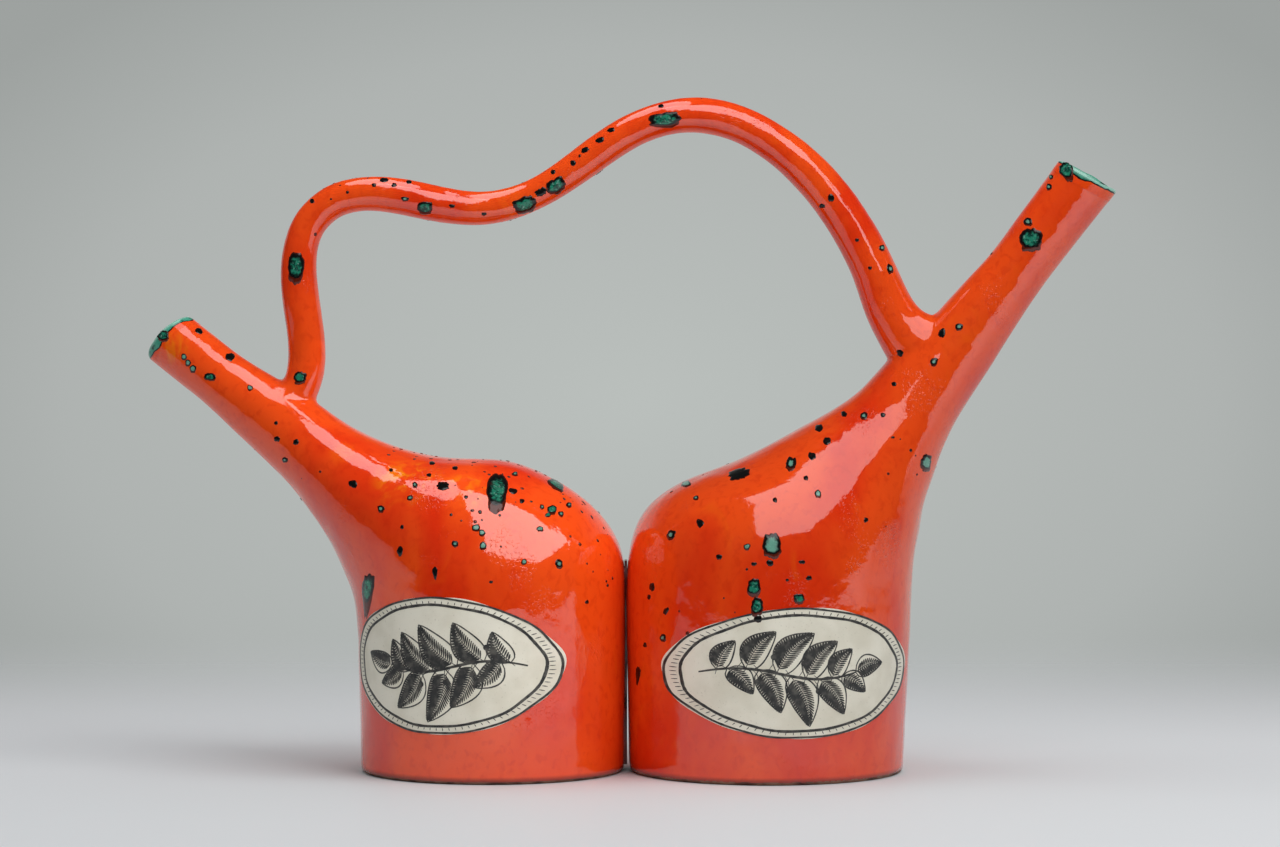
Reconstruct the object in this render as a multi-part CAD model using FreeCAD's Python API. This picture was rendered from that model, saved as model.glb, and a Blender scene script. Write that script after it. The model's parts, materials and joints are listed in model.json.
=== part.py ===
"""A double water jug of glazed earthenware: two round vessels side by side, each drawn
out at the shoulder into its own spout, with one wavy handle carried over both.

It is built the way a potter builds it. Each vessel is a slab base, a thrown wall that
closes over into the neck, a pulled spout and a mouth ring. The handle is one rolled coil
whose two ends are flared into feet that sit on the necks. A strip of slip bonds the two
walls where they touch, and a pale inlaid panel sits in the front of each vessel.

Frame: millimetres, +Z up, origin on the table at the middle of the whole object's box.
The vessels stand side by side along X, and -Y is the front. In one vessel's own sketch,
"out" runs from the vessel's axis towards its spout and "up" is the height.
"""

import FreeCAD, Part
import math
import os

from FreeCAD import Vector

# Driving dimensions of the left vessel, in millimetres and degrees
LEFT_BODY_RADIUS = 53.4
LEFT_FOOT_RADIUS = 52.2
LEFT_SHOULDER_HEIGHT = 56.0
LEFT_CROWN_HEIGHT = 124.0
LEFT_MOUTH_OUT = 132.3
LEFT_MOUTH_HEIGHT = 173.2
LEFT_SPOUT_PITCH = 37.0
LEFT_SPOUT_LEAN = 18.0
LEFT_SPOUT_STRAIGHT = 26.0
LEFT_SPOUT_RADIUS = 12.0
LEFT_MOUTH_RADIUS = 11.9
LEFT_BORE_RADIUS = 8.4
LEFT_BORE_LENGTH = 20.0

# Driving dimensions of the right vessel
RIGHT_BODY_RADIUS = 56.4
RIGHT_FOOT_RADIUS = 53.8
RIGHT_SHOULDER_HEIGHT = 60.0
RIGHT_CROWN_HEIGHT = 130.0
RIGHT_MOUTH_OUT = 126.0
RIGHT_MOUTH_HEIGHT = 237.1
RIGHT_SPOUT_PITCH = 53.4
RIGHT_SPOUT_LEAN = -8.0
RIGHT_SPOUT_STRAIGHT = 48.0
RIGHT_SPOUT_RADIUS = 12.2
RIGHT_MOUTH_RADIUS = 12.8
RIGHT_BORE_RADIUS = 9.2
RIGHT_BORE_LENGTH = 36.0

# Clay thicknesses and edges
BODY_WALL = 4.6
BORE_STEP = 0.4
BASE_THICKNESS = 6.0
FOOT_ROUND = 1.6
FOOT_RING_WIDTH = 9.0
FOOT_HOLLOW_DEPTH = 1.2
MOUTH_SLANT = 7.0
MOUTH_RING_HEIGHT = 5.0
MOUTH_ROUND = 1.2

# How the two vessels stand together
VESSEL_GAP = 0.6
SEAM_WIDTH = 14.0
SEAM_START_HEIGHT = 8.0
SEAM_TOP_HEIGHT = 84.0

# Handle
HANDLE_RADIUS = 7.0
HANDLE_RISE = 112.0

# Inlaid panels
PANEL_THICKNESS = 0.9
LEFT_PANEL_TURN = 22.0
LEFT_PANEL_HEIGHT = 45.9
LEFT_PANEL_WIDTH = 88.0
LEFT_PANEL_RISE = 53.2
RIGHT_PANEL_TURN = 12.0
RIGHT_PANEL_HEIGHT = 43.4
RIGHT_PANEL_WIDTH = 98.0
RIGHT_PANEL_RISE = 50.6

# Cutting tools run past what they cut by this much
OVERRUN = 5.0

# The radius on top of the slab base, as a share of the way from foot to body radius.
BASE_FLARE_SHARE = 0.16

# The wall stands steeper where the vessels touch: this share of the foot's inset is missing.
STEEP_SHARE = 0.7

# Each row is one section of the lower wall: its height as a share of the shoulder height,
# and its radius as a share of the way from the foot radius to the body radius.
WALL_SHARES = [(0.38, 0.47), (0.72, 0.93)]

# Each row is one tilted section of the shoulder and neck, which spans from a point on the
# under side to a point on the upper side. The under point goes from the shoulder (0, 0) to
# the start of the straight spout (1, 1). The upper point crosses the dome from (-1, 0) at
# the inner shoulder to (0, 1) on the crown, and then climbs the neck from (0, 0) at the
# crown to (1, 1). The last share is the depth, from 1 at the body to 0 at the spout. The
# spout is luted to the body at the neck's joint, and the handle's foot aims at its seat.
LEFT_DOME_SHARES = [
    (0.009, 0.022, -0.999, 0.270, 1.0),
    (0.032, 0.152, -0.952, 0.510, 0.986),
    (0.081, 0.249, -0.746, 0.737, 0.915),
    (0.144, 0.347, -0.410, 0.912, 0.796),
    (0.216, 0.433, -0.090, 1.000, 0.642),
]
LEFT_NECK_SHARES = {
    "root": (0.289, 0.504, 0.180, 0.030, 0.464),
    "joint": (0.377, 0.585, 0.436, 0.190, 0.287),
    "throat": (0.498, 0.677, 0.589, 0.386, 0.156),
    "seat": (0.660, 0.785, 0.707, 0.583, 0.090),
    "spout": (0.813, 0.883, 0.830, 0.750, 0.040),
}
RIGHT_DOME_SHARES = [
    (0.016, 0.076, -0.995, 0.330, 0.995),
    (0.039, 0.198, -0.883, 0.614, 0.953),
    (0.074, 0.275, -0.636, 0.779, 0.840),
    (0.116, 0.359, -0.300, 0.890, 0.671),
    (0.182, 0.435, 0.000, 1.000, 0.514),
]
RIGHT_NECK_SHARES = {
    "root": (0.240, 0.500, 0.227, 0.145, 0.367),
    "joint": (0.322, 0.572, 0.397, 0.271, 0.243),
    "seat": (0.453, 0.664, 0.567, 0.476, 0.142),
    "throat": (0.628, 0.770, 0.720, 0.647, 0.072),
    "spout": (0.806, 0.885, 0.868, 0.832, 0.034),
}

# The straight spout has a section at each of these shares of its length.
SPOUT_SHARES = [0.38, 0.74]

# The handle's centre line between its two feet. Each row is the share of the way from one
# neck to the other, the height above the line between the necks as a share of the rise,
# and the thickness as a share of the handle's radius.
HANDLE_SHARES = [
    (0.042, 0.249, 1.10),
    (0.037, 0.364, 1.08),
    (0.030, 0.508, 1.05),
    (0.032, 0.612, 1.00),
    (0.046, 0.702, 0.97),
    (0.086, 0.780, 0.98),
    (0.160, 0.793, 1.01),
    (0.251, 0.740, 1.00),
    (0.325, 0.718, 0.94),
    (0.397, 0.757, 0.92),
    (0.475, 0.863, 0.96),
    (0.553, 0.965, 0.98),
    (0.624, 0.998, 1.01),
    (0.698, 0.963, 1.03),
    (0.769, 0.863, 1.10),
    (0.836, 0.705, 1.17),
    (0.885, 0.535, 1.22),
    (0.917, 0.378, 1.30),
]

# The flared feet, from the left end to the right end. Each row is again a place, then the
# pitch of the section's facing as a share of a right angle, and the half width and half
# depth as shares of the handle's radius.
LEFT_FOOT_SHARES = [
    (0.004, 0.046, 0.68, 1.73, 1.71),
    (0.012, 0.081, 0.68, 1.55, 1.49),
    (0.028, 0.111, 0.76, 1.18, 1.27),
    (0.039, 0.168, 0.92, 1.10, 1.16),
]
RIGHT_FOOT_SHARES = [
    (0.936, 0.266, -0.73, 1.42, 1.38),
    (0.954, 0.196, -0.64, 1.55, 1.51),
    (0.976, 0.143, -0.52, 1.95, 1.74),
    (1.003, 0.100, -0.45, 2.58, 2.00),
]


def unit(v):
    """The same direction with length one."""
    return Vector(v).normalize()


def ellipse_poles(circle, centre, across, deep, half_across, half_deep):
    """The poles that turn the unit circle's curve into an ellipse in space."""
    poles = circle.getPoles()
    return [centre + across * (half_across * p.x) + deep * (half_deep * p.y) for p in poles]


def unit_circle():
    """A circle of radius one as a rational curve with its two ends at one place."""
    circle = Part.Circle(Vector(0, 0, 0), Vector(0, 0, 1), 1).toBSpline()
    circle.setNotPeriodic()
    return circle


def skin(sections):
    """A solid with a smooth side through elliptic sections and a flat face at each end."""
    circle = unit_circle()
    rings = [ellipse_poles(circle, *section) for section in sections]
    spacing = [0.0]
    for ring, following in zip(rings, rings[1:]):
        steps = [(q - p).Length for p, q in zip(ring, following)]
        spacing.append(spacing[-1] + sum(steps) / len(steps))
    rails = []
    for places in zip(*rings):
        rail = Part.BSplineCurve()
        rail.interpolate(Points=list(places), Parameters=spacing)
        rails.append(rail)
    side = Part.BSplineSurface()
    side.buildFromPolesMultsKnots(
        [rail.getPoles() for rail in rails],
        circle.getMultiplicities(), rails[0].getMultiplicities(),
        circle.getKnots(), rails[0].getKnots(), False, False,
        circle.Degree, rails[0].Degree,
        [[weight] * rails[0].NbPoles for weight in circle.getWeights()],
    )
    faces = [side.toShape()]
    for end in (side.vIso(spacing[0]), side.vIso(spacing[-1])):
        faces.append(Part.Face(Part.Wire([end.toShape()])))
    shell = Part.makeShell(faces)
    shell.sewShape()
    solid = Part.makeSolid(shell)
    if solid.Volume < 0:
        solid.reverse()
    return solid


def beyond(point, direction, reach):
    """A block that fills the space past a plane."""
    block = Part.makeBox(2 * reach, 2 * reach, reach, Vector(-reach, -reach, 0))
    turn = FreeCAD.Rotation(Vector(0, 0, 1), direction)
    block.Placement = FreeCAD.Placement(point, turn)
    return block


def set_in(point, before, after, inside, wall):
    """The point moved by the wall, square to its rail, towards the inside."""
    along = (after[0] - before[0], after[1] - before[1])
    length = math.hypot(*along)
    normal = (-along[1] / length, along[0] / length)
    towards = (inside[0] - point[0]) * normal[0] + (inside[1] - point[1]) * normal[1]
    sign = 1 if towards > 0 else -1
    return (point[0] + sign * wall * normal[0], point[1] + sign * wall * normal[1])


def middle(row):
    """The middle of a section's under and upper points."""
    under, over, _ = row
    return ((under[0] + over[0]) / 2, (under[1] + over[1]) / 2)


class Vessel:
    """One round vessel with its spout, sketched from its own axis outwards."""

    def __init__(self, name, side, **sizes):
        self.name = name
        self.side = side
        self.__dict__.update(sizes)
        self.pitch = math.radians(self.spout_pitch)
        self.lean = math.radians(self.spout_lean)
        self.axis_x = side * (self.body_radius + VESSEL_GAP / 2)
        self.spout_wall = self.spout_radius - self.bore_radius + BORE_STEP
        self.base_radius = self.foot_radius + BASE_FLARE_SHARE * (self.body_radius - self.foot_radius)
        self.reach = self.mouth_out + self.mouth_height
        self.outer = self.build_outer()
        self.hollow = self.build_hollow()

    def place(self, out, up, back=0.0):
        """A point of this vessel's sketch in the object's frame."""
        return Vector(self.axis_x + self.side * out, back, up)

    def direction(self, pitch):
        """The direction of a given pitch that leans back or forward with the spout."""
        flat = Vector(self.side * math.cos(pitch), 0, math.sin(pitch))
        return flat * math.cos(self.lean) + Vector(0, math.sin(self.lean), 0)

    def wall_row(self, radius, height):
        """The row of a section of the lower wall, given the radius on its outer side."""
        steep = radius + STEEP_SHARE * (self.body_radius - radius)
        return ((radius, height), (-steep, height), (radius + steep) / 2)

    def rails(self):
        """The under point, upper point and half depth of every section, foot first."""
        foot, body = self.foot_radius, self.body_radius
        shoulder, crown = self.shoulder_height, self.crown_height
        rows = [self.wall_row(self.base_radius, BASE_THICKNESS)]
        for height_share, radius_share in WALL_SHARES:
            rows.append(self.wall_row(foot + radius_share * (body - foot), height_share * shoulder))
        along = self.spout_straight * math.cos(self.lean)
        start_out = self.mouth_out - along * math.cos(self.pitch)
        start_up = self.mouth_height - along * math.sin(self.pitch)
        reach = self.spout_radius * math.sin(self.pitch)
        climb = self.spout_radius * math.cos(self.pitch)
        under_end = (start_out + reach, start_up - climb)
        over_end = (start_out - reach, start_up + climb)
        shares = self.dome_shares + list(self.neck_shares.values())
        for under_out, under_up, over_out, over_up, depth in shares:
            under = (
                body + under_out * (under_end[0] - body),
                shoulder + under_up * (under_end[1] - shoulder),
            )
            if len(rows) <= len(WALL_SHARES) + len(self.dome_shares):
                over = (body * over_out, shoulder + over_up * (crown - shoulder))
            else:
                over = (over_end[0] * over_out, crown + over_up * (over_end[1] - crown))
            rows.append((under, over, self.spout_radius + depth * (body - self.spout_radius)))
        rows.append((under_end, over_end, self.spout_radius))
        return rows

    def sections(self, inset_body, inset_spout):
        """Centre, two directions and two half sizes of every section, set in by a wall."""
        rows = self.rails()
        last = len(rows) - 1
        lengths = [0.0]
        for row, following in zip(rows, rows[1:]):
            lengths.append(lengths[-1] + math.dist(middle(row), middle(following)))
        start = len(WALL_SHARES)
        neck_length = lengths[-1] - lengths[start]
        placed = []
        for i, (under, over, half_depth) in enumerate(rows):
            before, after = rows[max(i - 1, 0)], rows[min(i + 1, last)]
            progress = max(0.0, (lengths[i] - lengths[start]) / neck_length)
            wall = inset_body + progress * (inset_spout - inset_body)
            slope = (after[2] - before[2]) / math.dist(middle(before), middle(after))
            depth_in = half_depth - wall * math.hypot(1, slope)
            if 0 < i < last:
                under_in = set_in(under, before[0], after[0], over, wall)
                over_in = set_in(over, before[1], after[1], under, wall)
            else:
                span = math.dist(under, over)
                step = ((over[0] - under[0]) / span * wall, (over[1] - under[1]) / span * wall)
                under_in = (under[0] + step[0], under[1] + step[1])
                over_in = (over[0] - step[0], over[1] - step[1])
                depth_in = half_depth - wall
            lean = self.lean * progress ** 2
            back = math.tan(self.lean) * neck_length / 3 * progress ** 3
            across = unit(self.place(*over_in) - self.place(*under_in))
            forward = Vector(-self.side * across.z, 0, self.side * across.x)
            if forward.z < 0:
                forward = forward * -1
            deep = Vector(0, math.cos(lean), 0) - forward * math.sin(lean)
            centre = self.place(*middle((under_in, over_in, depth_in)), back)
            half_across = math.dist(under_in, over_in) / 2
            placed.append((centre, across, deep, half_across, depth_in))
        return placed

    def spout_section(self, from_start, radius):
        """A round section of the straight spout at a distance from where it starts."""
        start = self.sections(0, 0)[-1]
        centre = start[0] + self.direction(self.pitch) * from_start
        return (centre, start[1], start[2], radius, radius)

    def mouth_centre(self):
        """The middle of the mouth."""
        return self.spout_section(self.spout_straight, self.mouth_radius)[0]

    def past_slant(self, depth):
        """A block past the plane that is slanted as the lip is, a depth below the mouth."""
        across = self.spout_section(0, self.spout_radius)[1]
        axis = self.direction(self.pitch)
        facing = unit(axis + across * math.tan(math.radians(MOUTH_SLANT)))
        return beyond(self.mouth_centre() - axis * depth, facing, self.reach)

    def build_outer(self):
        """The filled form of the vessel, its neck and its spout, a little past the lip."""
        rows = self.sections(0, 0)
        widening = self.mouth_radius - self.spout_radius
        for share in SPOUT_SHARES:
            radius = self.spout_radius + widening * share ** 2
            rows.append(self.spout_section(self.spout_straight * share, radius))
        rows.append(self.spout_section(self.spout_straight + OVERRUN, self.mouth_radius))
        return skin(rows)

    def build_hollow(self):
        """The water space, with the true round bore that the spout ends in."""
        rows = self.sections(BODY_WALL, self.spout_wall)
        bore_start = self.spout_straight - self.bore_length
        rows.append(self.spout_section(bore_start + OVERRUN, self.bore_radius - BORE_STEP))
        space = skin(rows)
        foot = self.spout_section(bore_start, self.bore_radius)[0]
        reach = self.bore_length + OVERRUN
        bore = Part.makeCylinder(self.bore_radius, reach, foot, self.direction(self.pitch))
        return space.fuse(bore)

    def joint_block(self):
        """The space past the plane in which the spout is luted to the body."""
        centre, across, deep, _, _ = self.neck_section("joint")
        facing = unit(across.cross(deep))
        if facing.z < 0:
            facing = facing * -1
        return beyond(centre, facing, self.reach)

    def neck_section(self, name):
        """One named section of the neck."""
        before = 1 + len(WALL_SHARES) + len(self.dome_shares)
        return self.sections(0, 0)[before + list(self.neck_shares).index(name)]

    def body(self):
        """The thrown wall and dome, with the shallow bed of the panel."""
        wall = self.outer.cut(self.hollow).cut(self.joint_block())
        return wall.cut(self.panel())

    def spout(self):
        """The drawn-out neck and spout below the mouth ring."""
        tube = self.outer.cut(self.hollow).common(self.joint_block())
        return tube.cut(self.past_slant(MOUTH_RING_HEIGHT))

    def mouth_ring(self):
        """The rounded ring at the mouth, between two planes that are slanted alike."""
        axis = self.direction(self.pitch)
        low = self.mouth_centre() - axis * (MOUTH_RING_HEIGHT + OVERRUN)
        length = MOUTH_RING_HEIGHT + 2 * OVERRUN
        ring = Part.makeCylinder(self.mouth_radius, length, low, axis)
        ring = ring.cut(Part.makeCylinder(self.bore_radius, length, low, axis))
        ring = ring.common(self.past_slant(MOUTH_RING_HEIGHT)).cut(self.past_slant(0))
        lip = max(ring.Faces, key=lambda face: face.CenterOfMass.dot(axis))
        return ring.makeFillet(MOUTH_ROUND, lip.Edges)

    def base(self):
        """The slab base, rounded at its foot and hollowed a little underneath."""
        row = self.wall_row(self.base_radius, BASE_THICKNESS)
        centre = self.place(middle(row)[0], 0)
        radius = row[-1]
        foot = radius - (self.base_radius - self.foot_radius)
        slab = Part.makeCone(foot, radius, BASE_THICKNESS, centre)
        under = min(slab.Faces, key=lambda face: face.CenterOfMass.z)
        slab = slab.makeFillet(FOOT_ROUND, under.Edges)
        inside = foot - FOOT_RING_WIDTH
        return slab.cut(Part.makeCone(inside, inside - FOOT_HOLLOW_DEPTH, FOOT_HOLLOW_DEPTH, centre))

    def panel(self):
        """A thin oval inlay, flush with the front of the wall."""
        facing = math.radians(self.panel_turn)
        out = Vector(self.side * math.sin(facing), -math.cos(facing), 0)
        up = Vector(0, 0, 1)
        centre = self.place(0, self.panel_height)
        half_width, half_rise = self.panel_width / 2, self.panel_rise / 2
        oval = unit_circle()
        for i, pole in enumerate(ellipse_poles(oval, centre, up.cross(out), up, half_width, half_rise)):
            oval.setPole(i + 1, pole)
        face = Part.Face(Part.Wire([oval.toShape()]))
        prism = face.extrude(out * (self.body_radius + OVERRUN))
        rows = self.sections(PANEL_THICKNESS, PANEL_THICKNESS)
        bed = skin(rows)
        return self.outer.cut(bed).common(prism)


def handle_pieces(left_neck, right_neck):
    """The coil and its two flared feet, which reach into the necks."""
    def station(along, rise):
        return left_neck + (right_neck - left_neck) * along + Vector(0, 0, rise * HANDLE_RISE)

    def section(centre, heading, half_width, half_depth):
        deep = unit(Vector(0, 1, 0) - heading * heading.y)
        size = (half_width * HANDLE_RADIUS, half_depth * HANDLE_RADIUS)
        return (centre, deep.cross(heading), deep, *size)

    def foot(shares):
        rows = []
        for along, rise, pitch_share, half_width, half_depth in shares:
            pitch = math.pi / 2 * pitch_share
            heading = Vector(math.cos(pitch), 0, math.sin(pitch))
            rows.append(section(station(along, rise), heading, half_width, half_depth))
        return rows

    points = [station(along, rise) for along, rise, _ in HANDLE_SHARES]
    path = Part.BSplineCurve()
    path.interpolate(Points=points)
    headings = [unit(path.tangent(path.parameter(point))[0]) for point in points]
    coil = []
    for point, heading, (_, _, thickness) in zip(points, headings, HANDLE_SHARES):
        coil.append(section(point, heading, thickness, thickness))
    whole = skin(foot(LEFT_FOOT_SHARES) + coil + foot(RIGHT_FOOT_SHARES))
    left_end = beyond(points[0], headings[0] * -1, HANDLE_RISE / 2)
    right_end = beyond(points[-1], headings[-1], HANDLE_RISE / 2)
    return {
        "handle": whole.cut(left_end).cut(right_end),
        "left_handle_foot": whole.common(left_end).cut(LEFT.outer),
        "right_handle_foot": whole.common(right_end).cut(RIGHT.outer),
    }


LEFT = Vessel(
    "left", -1,
    body_radius=LEFT_BODY_RADIUS, foot_radius=LEFT_FOOT_RADIUS,
    shoulder_height=LEFT_SHOULDER_HEIGHT, crown_height=LEFT_CROWN_HEIGHT,
    mouth_out=LEFT_MOUTH_OUT, mouth_height=LEFT_MOUTH_HEIGHT,
    spout_pitch=LEFT_SPOUT_PITCH, spout_lean=LEFT_SPOUT_LEAN,
    spout_straight=LEFT_SPOUT_STRAIGHT, spout_radius=LEFT_SPOUT_RADIUS,
    mouth_radius=LEFT_MOUTH_RADIUS, bore_radius=LEFT_BORE_RADIUS,
    bore_length=LEFT_BORE_LENGTH,
    dome_shares=LEFT_DOME_SHARES, neck_shares=LEFT_NECK_SHARES,
    panel_turn=LEFT_PANEL_TURN, panel_height=LEFT_PANEL_HEIGHT,
    panel_width=LEFT_PANEL_WIDTH, panel_rise=LEFT_PANEL_RISE,
)
RIGHT = Vessel(
    "right", 1,
    body_radius=RIGHT_BODY_RADIUS, foot_radius=RIGHT_FOOT_RADIUS,
    shoulder_height=RIGHT_SHOULDER_HEIGHT, crown_height=RIGHT_CROWN_HEIGHT,
    mouth_out=RIGHT_MOUTH_OUT, mouth_height=RIGHT_MOUTH_HEIGHT,
    spout_pitch=RIGHT_SPOUT_PITCH, spout_lean=RIGHT_SPOUT_LEAN,
    spout_straight=RIGHT_SPOUT_STRAIGHT, spout_radius=RIGHT_SPOUT_RADIUS,
    mouth_radius=RIGHT_MOUTH_RADIUS, bore_radius=RIGHT_BORE_RADIUS,
    bore_length=RIGHT_BORE_LENGTH,
    dome_shares=RIGHT_DOME_SHARES, neck_shares=RIGHT_NECK_SHARES,
    panel_turn=RIGHT_PANEL_TURN, panel_height=RIGHT_PANEL_HEIGHT,
    panel_width=RIGHT_PANEL_WIDTH, panel_rise=RIGHT_PANEL_RISE,
)


def slip_seam():
    """The strip of slip that fills the narrow gap where the two walls meet."""
    reach = OVERRUN + VESSEL_GAP
    rise = SEAM_TOP_HEIGHT - SEAM_START_HEIGHT
    low_corner = Vector(-reach, -SEAM_WIDTH / 2, SEAM_START_HEIGHT)
    strip = Part.makeBox(2 * reach, SEAM_WIDTH, rise, low_corner)
    return strip.cut(LEFT.outer).cut(RIGHT.outer)


nodes = handle_pieces(LEFT.neck_section("seat")[0], RIGHT.neck_section("seat")[0])
nodes["slip_seam"] = slip_seam()
for vessel in (LEFT, RIGHT):
    nodes[vessel.name + "_base"] = vessel.base()
    nodes[vessel.name + "_body"] = vessel.body()
    nodes[vessel.name + "_spout"] = vessel.spout()
    nodes[vessel.name + "_mouth_ring"] = vessel.mouth_ring()
    nodes[vessel.name + "_panel"] = vessel.panel()

# The origin is on the table, under the middle of the whole object's box.
whole = Part.makeCompound(list(nodes.values())).optimalBoundingBox()
to_origin = Vector(-whole.Center.x, -whole.Center.y, 0)
os.makedirs("parts", exist_ok=True)
for name, shape in nodes.items():
    shape.translate(to_origin)
    shape.exportStep(os.path.join("parts", name + ".step"))
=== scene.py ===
"""Glazed finish of two joined earthenware jugs under one wavy handle.

Each vessel, with the handle's foot on its neck, is one smooth skin over its clay pieces.
The handle's coil is another skin, and the mouth rims, the foot rings and the glaze in the
groove between the vessels are pieces of their own. A pale oval panel with a branch drawn
on it in ink sits in the front of each vessel. Drops and fine beads of glass lie on the glaze.
"""

import json
import math
import random
from collections import namedtuple

import bmesh
import bpy
import numpy as np
from mathutils import Matrix, Vector, noise
from mathutils.bvhtree import BVHTree
from mathutils.kdtree import KDTree

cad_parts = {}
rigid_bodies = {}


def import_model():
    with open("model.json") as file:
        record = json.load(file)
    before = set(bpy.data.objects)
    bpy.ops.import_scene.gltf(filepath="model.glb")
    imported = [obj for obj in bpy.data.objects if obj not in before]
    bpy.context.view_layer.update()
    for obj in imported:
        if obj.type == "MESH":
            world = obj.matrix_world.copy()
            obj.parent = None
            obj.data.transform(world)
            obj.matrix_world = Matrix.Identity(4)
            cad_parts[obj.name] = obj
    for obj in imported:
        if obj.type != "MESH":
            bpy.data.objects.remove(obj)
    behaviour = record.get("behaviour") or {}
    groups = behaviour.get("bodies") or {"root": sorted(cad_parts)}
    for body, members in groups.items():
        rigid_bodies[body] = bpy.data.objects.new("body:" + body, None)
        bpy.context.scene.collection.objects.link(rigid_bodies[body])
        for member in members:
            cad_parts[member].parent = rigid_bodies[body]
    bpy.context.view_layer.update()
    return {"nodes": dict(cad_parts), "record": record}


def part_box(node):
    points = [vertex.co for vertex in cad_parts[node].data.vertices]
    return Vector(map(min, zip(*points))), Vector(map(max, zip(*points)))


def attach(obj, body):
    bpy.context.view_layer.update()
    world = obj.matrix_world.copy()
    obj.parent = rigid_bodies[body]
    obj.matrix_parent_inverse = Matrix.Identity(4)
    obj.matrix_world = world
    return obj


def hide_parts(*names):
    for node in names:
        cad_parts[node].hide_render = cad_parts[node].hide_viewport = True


MM = 0.001
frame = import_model()

# The camera, in millimetres and in pixels of the 1280 by 847 picture
CAMERA_PLACE = Vector((5.9, -1400.0, 161.0)) * MM
CAMERA_TILT_DOWN = math.radians(0.91)
FOCAL_PIXELS = 3500.0
PICTURE_WIDTH, PICTURE_HEIGHT = 1280, 847
SENSOR_WIDTH = 36.0

# The skins: their voxels, how far past its foot the coil is parted, the height at which the
# glaze ends, and the angle in degrees past which an edge is sharp
VOXEL = 1.2 * MM
HANDLE_SEAM = 4.0 * MM
GLAZE_END = 1.1 * MM
SKIN_CREASE = 38

# The waves of the hand-made surface: how close they are, how far they stand out in
# millimetres, and where their noise starts. They fade out where the vessels touch, which
# is below the top of their contact, and at the mouths and the foot.
WAVES = [(28.0, 0.42, Vector((0.0, 0.0, 0.0))), (85.0, 0.10, Vector((3.1, 0.0, 7.7)))]
WOBBLE_FADE = 8.0 * MM
CONTACT_TOP = 110.0 * MM


def add_object(name, mesh):
    """A new object at the origin that shows a mesh."""
    made = bpy.data.objects.new(name, mesh)
    bpy.context.scene.collection.objects.link(made)
    return made


def smoothstep(low, high, value):
    """0 below low, 1 above high, and a smooth rise between them."""
    share = min(1.0, max(0.0, (value - low) / (high - low)))
    return share * share * (3 - 2 * share)


def shade(bm, crease):
    """Smooth faces, with sharp edges where the form turns by more than a crease in degrees."""
    for face in bm.faces:
        face.smooth = True
    for edge in bm.edges:
        edge.smooth = not (edge.is_manifold and edge.calc_face_angle(0.0) > math.radians(crease))


def finished(bm, name, crease=None):
    """The object of a finished mesh."""
    if crease:
        shade(bm, crease)
    mesh = bpy.data.meshes.new(name)
    bm.to_mesh(mesh)
    bm.free()
    return add_object(name, mesh)


def tree_of(objects):
    """The surfaces of some objects as one, for laying things on them."""
    bm = bmesh.new()
    for shown in objects:
        bm.from_mesh(shown.data)
    tree = BVHTree.FromBMesh(bm)
    bm.free()
    return tree


def joined(nodes):
    """One mesh of several clay pieces, with the loose corners merged."""
    bm = bmesh.new()
    for node in nodes:
        bm.from_mesh(frame["nodes"][node].data)
    bmesh.ops.remove_doubles(bm, verts=bm.verts, dist=0.001 * MM)
    mesh = bpy.data.meshes.new("joined_clay")
    bm.to_mesh(mesh)
    bm.free()
    return mesh


def vertices_of(mesh):
    """The places of a mesh's vertices as an array."""
    flat = np.empty(len(mesh.vertices) * 3)
    mesh.vertices.foreach_get("co", flat)
    return flat.reshape(-1, 3)


def relax(mesh, rounds=10, ease=0.5, spring=-0.53):
    """Smooths the voxel steps away without shrinking the form."""
    places = vertices_of(mesh)
    edges = np.empty(len(mesh.edges) * 2, dtype=np.int64)
    mesh.edges.foreach_get("vertices", edges)
    edges = edges.reshape(-1, 2)
    ends = np.concatenate([edges[:, 0], edges[:, 1]])
    others = np.concatenate([edges[:, 1], edges[:, 0]])
    count = np.bincount(ends, minlength=len(places))[:, None]
    for _ in range(rounds):
        for strength in (ease, spring):
            sums = [np.bincount(ends, places[others, axis], len(places)) for axis in range(3)]
            places += strength * (np.stack(sums, 1) / count - places)
    mesh.vertices.foreach_set("co", places.ravel())
    mesh.update()


def voxel_skin(nodes):
    """A smooth closed skin round several clay pieces."""
    source = add_object("skin_source", joined(nodes))
    remesh = source.modifiers.new("voxels", "REMESH")
    remesh.mode = "VOXEL"
    remesh.voxel_size = VOXEL
    shown = source.evaluated_get(bpy.context.evaluated_depsgraph_get())
    mesh = bpy.data.meshes.new_from_object(shown)
    bpy.data.objects.remove(source)
    relax(mesh)
    return mesh


def shared_plane(first, second):
    """The middle of the face that two clay pieces share, and its normal towards the second."""
    tree = KDTree(len(frame["nodes"][second].data.vertices))
    for i, vertex in enumerate(frame["nodes"][second].data.vertices):
        tree.insert(vertex.co, i)
    tree.balance()
    corners = {v.co.copy().freeze() for v in frame["nodes"][first].data.vertices}
    shared = np.array([c for c in corners if tree.find(c)[2] < 0.01 * MM])
    middle = shared.mean(0)
    normal = Vector(np.linalg.svd(shared - middle)[2][2])
    low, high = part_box(second)
    if normal.dot((low + high) / 2 - Vector(middle)) < 0:
        normal.negate()
    return Vector(middle), normal


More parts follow.
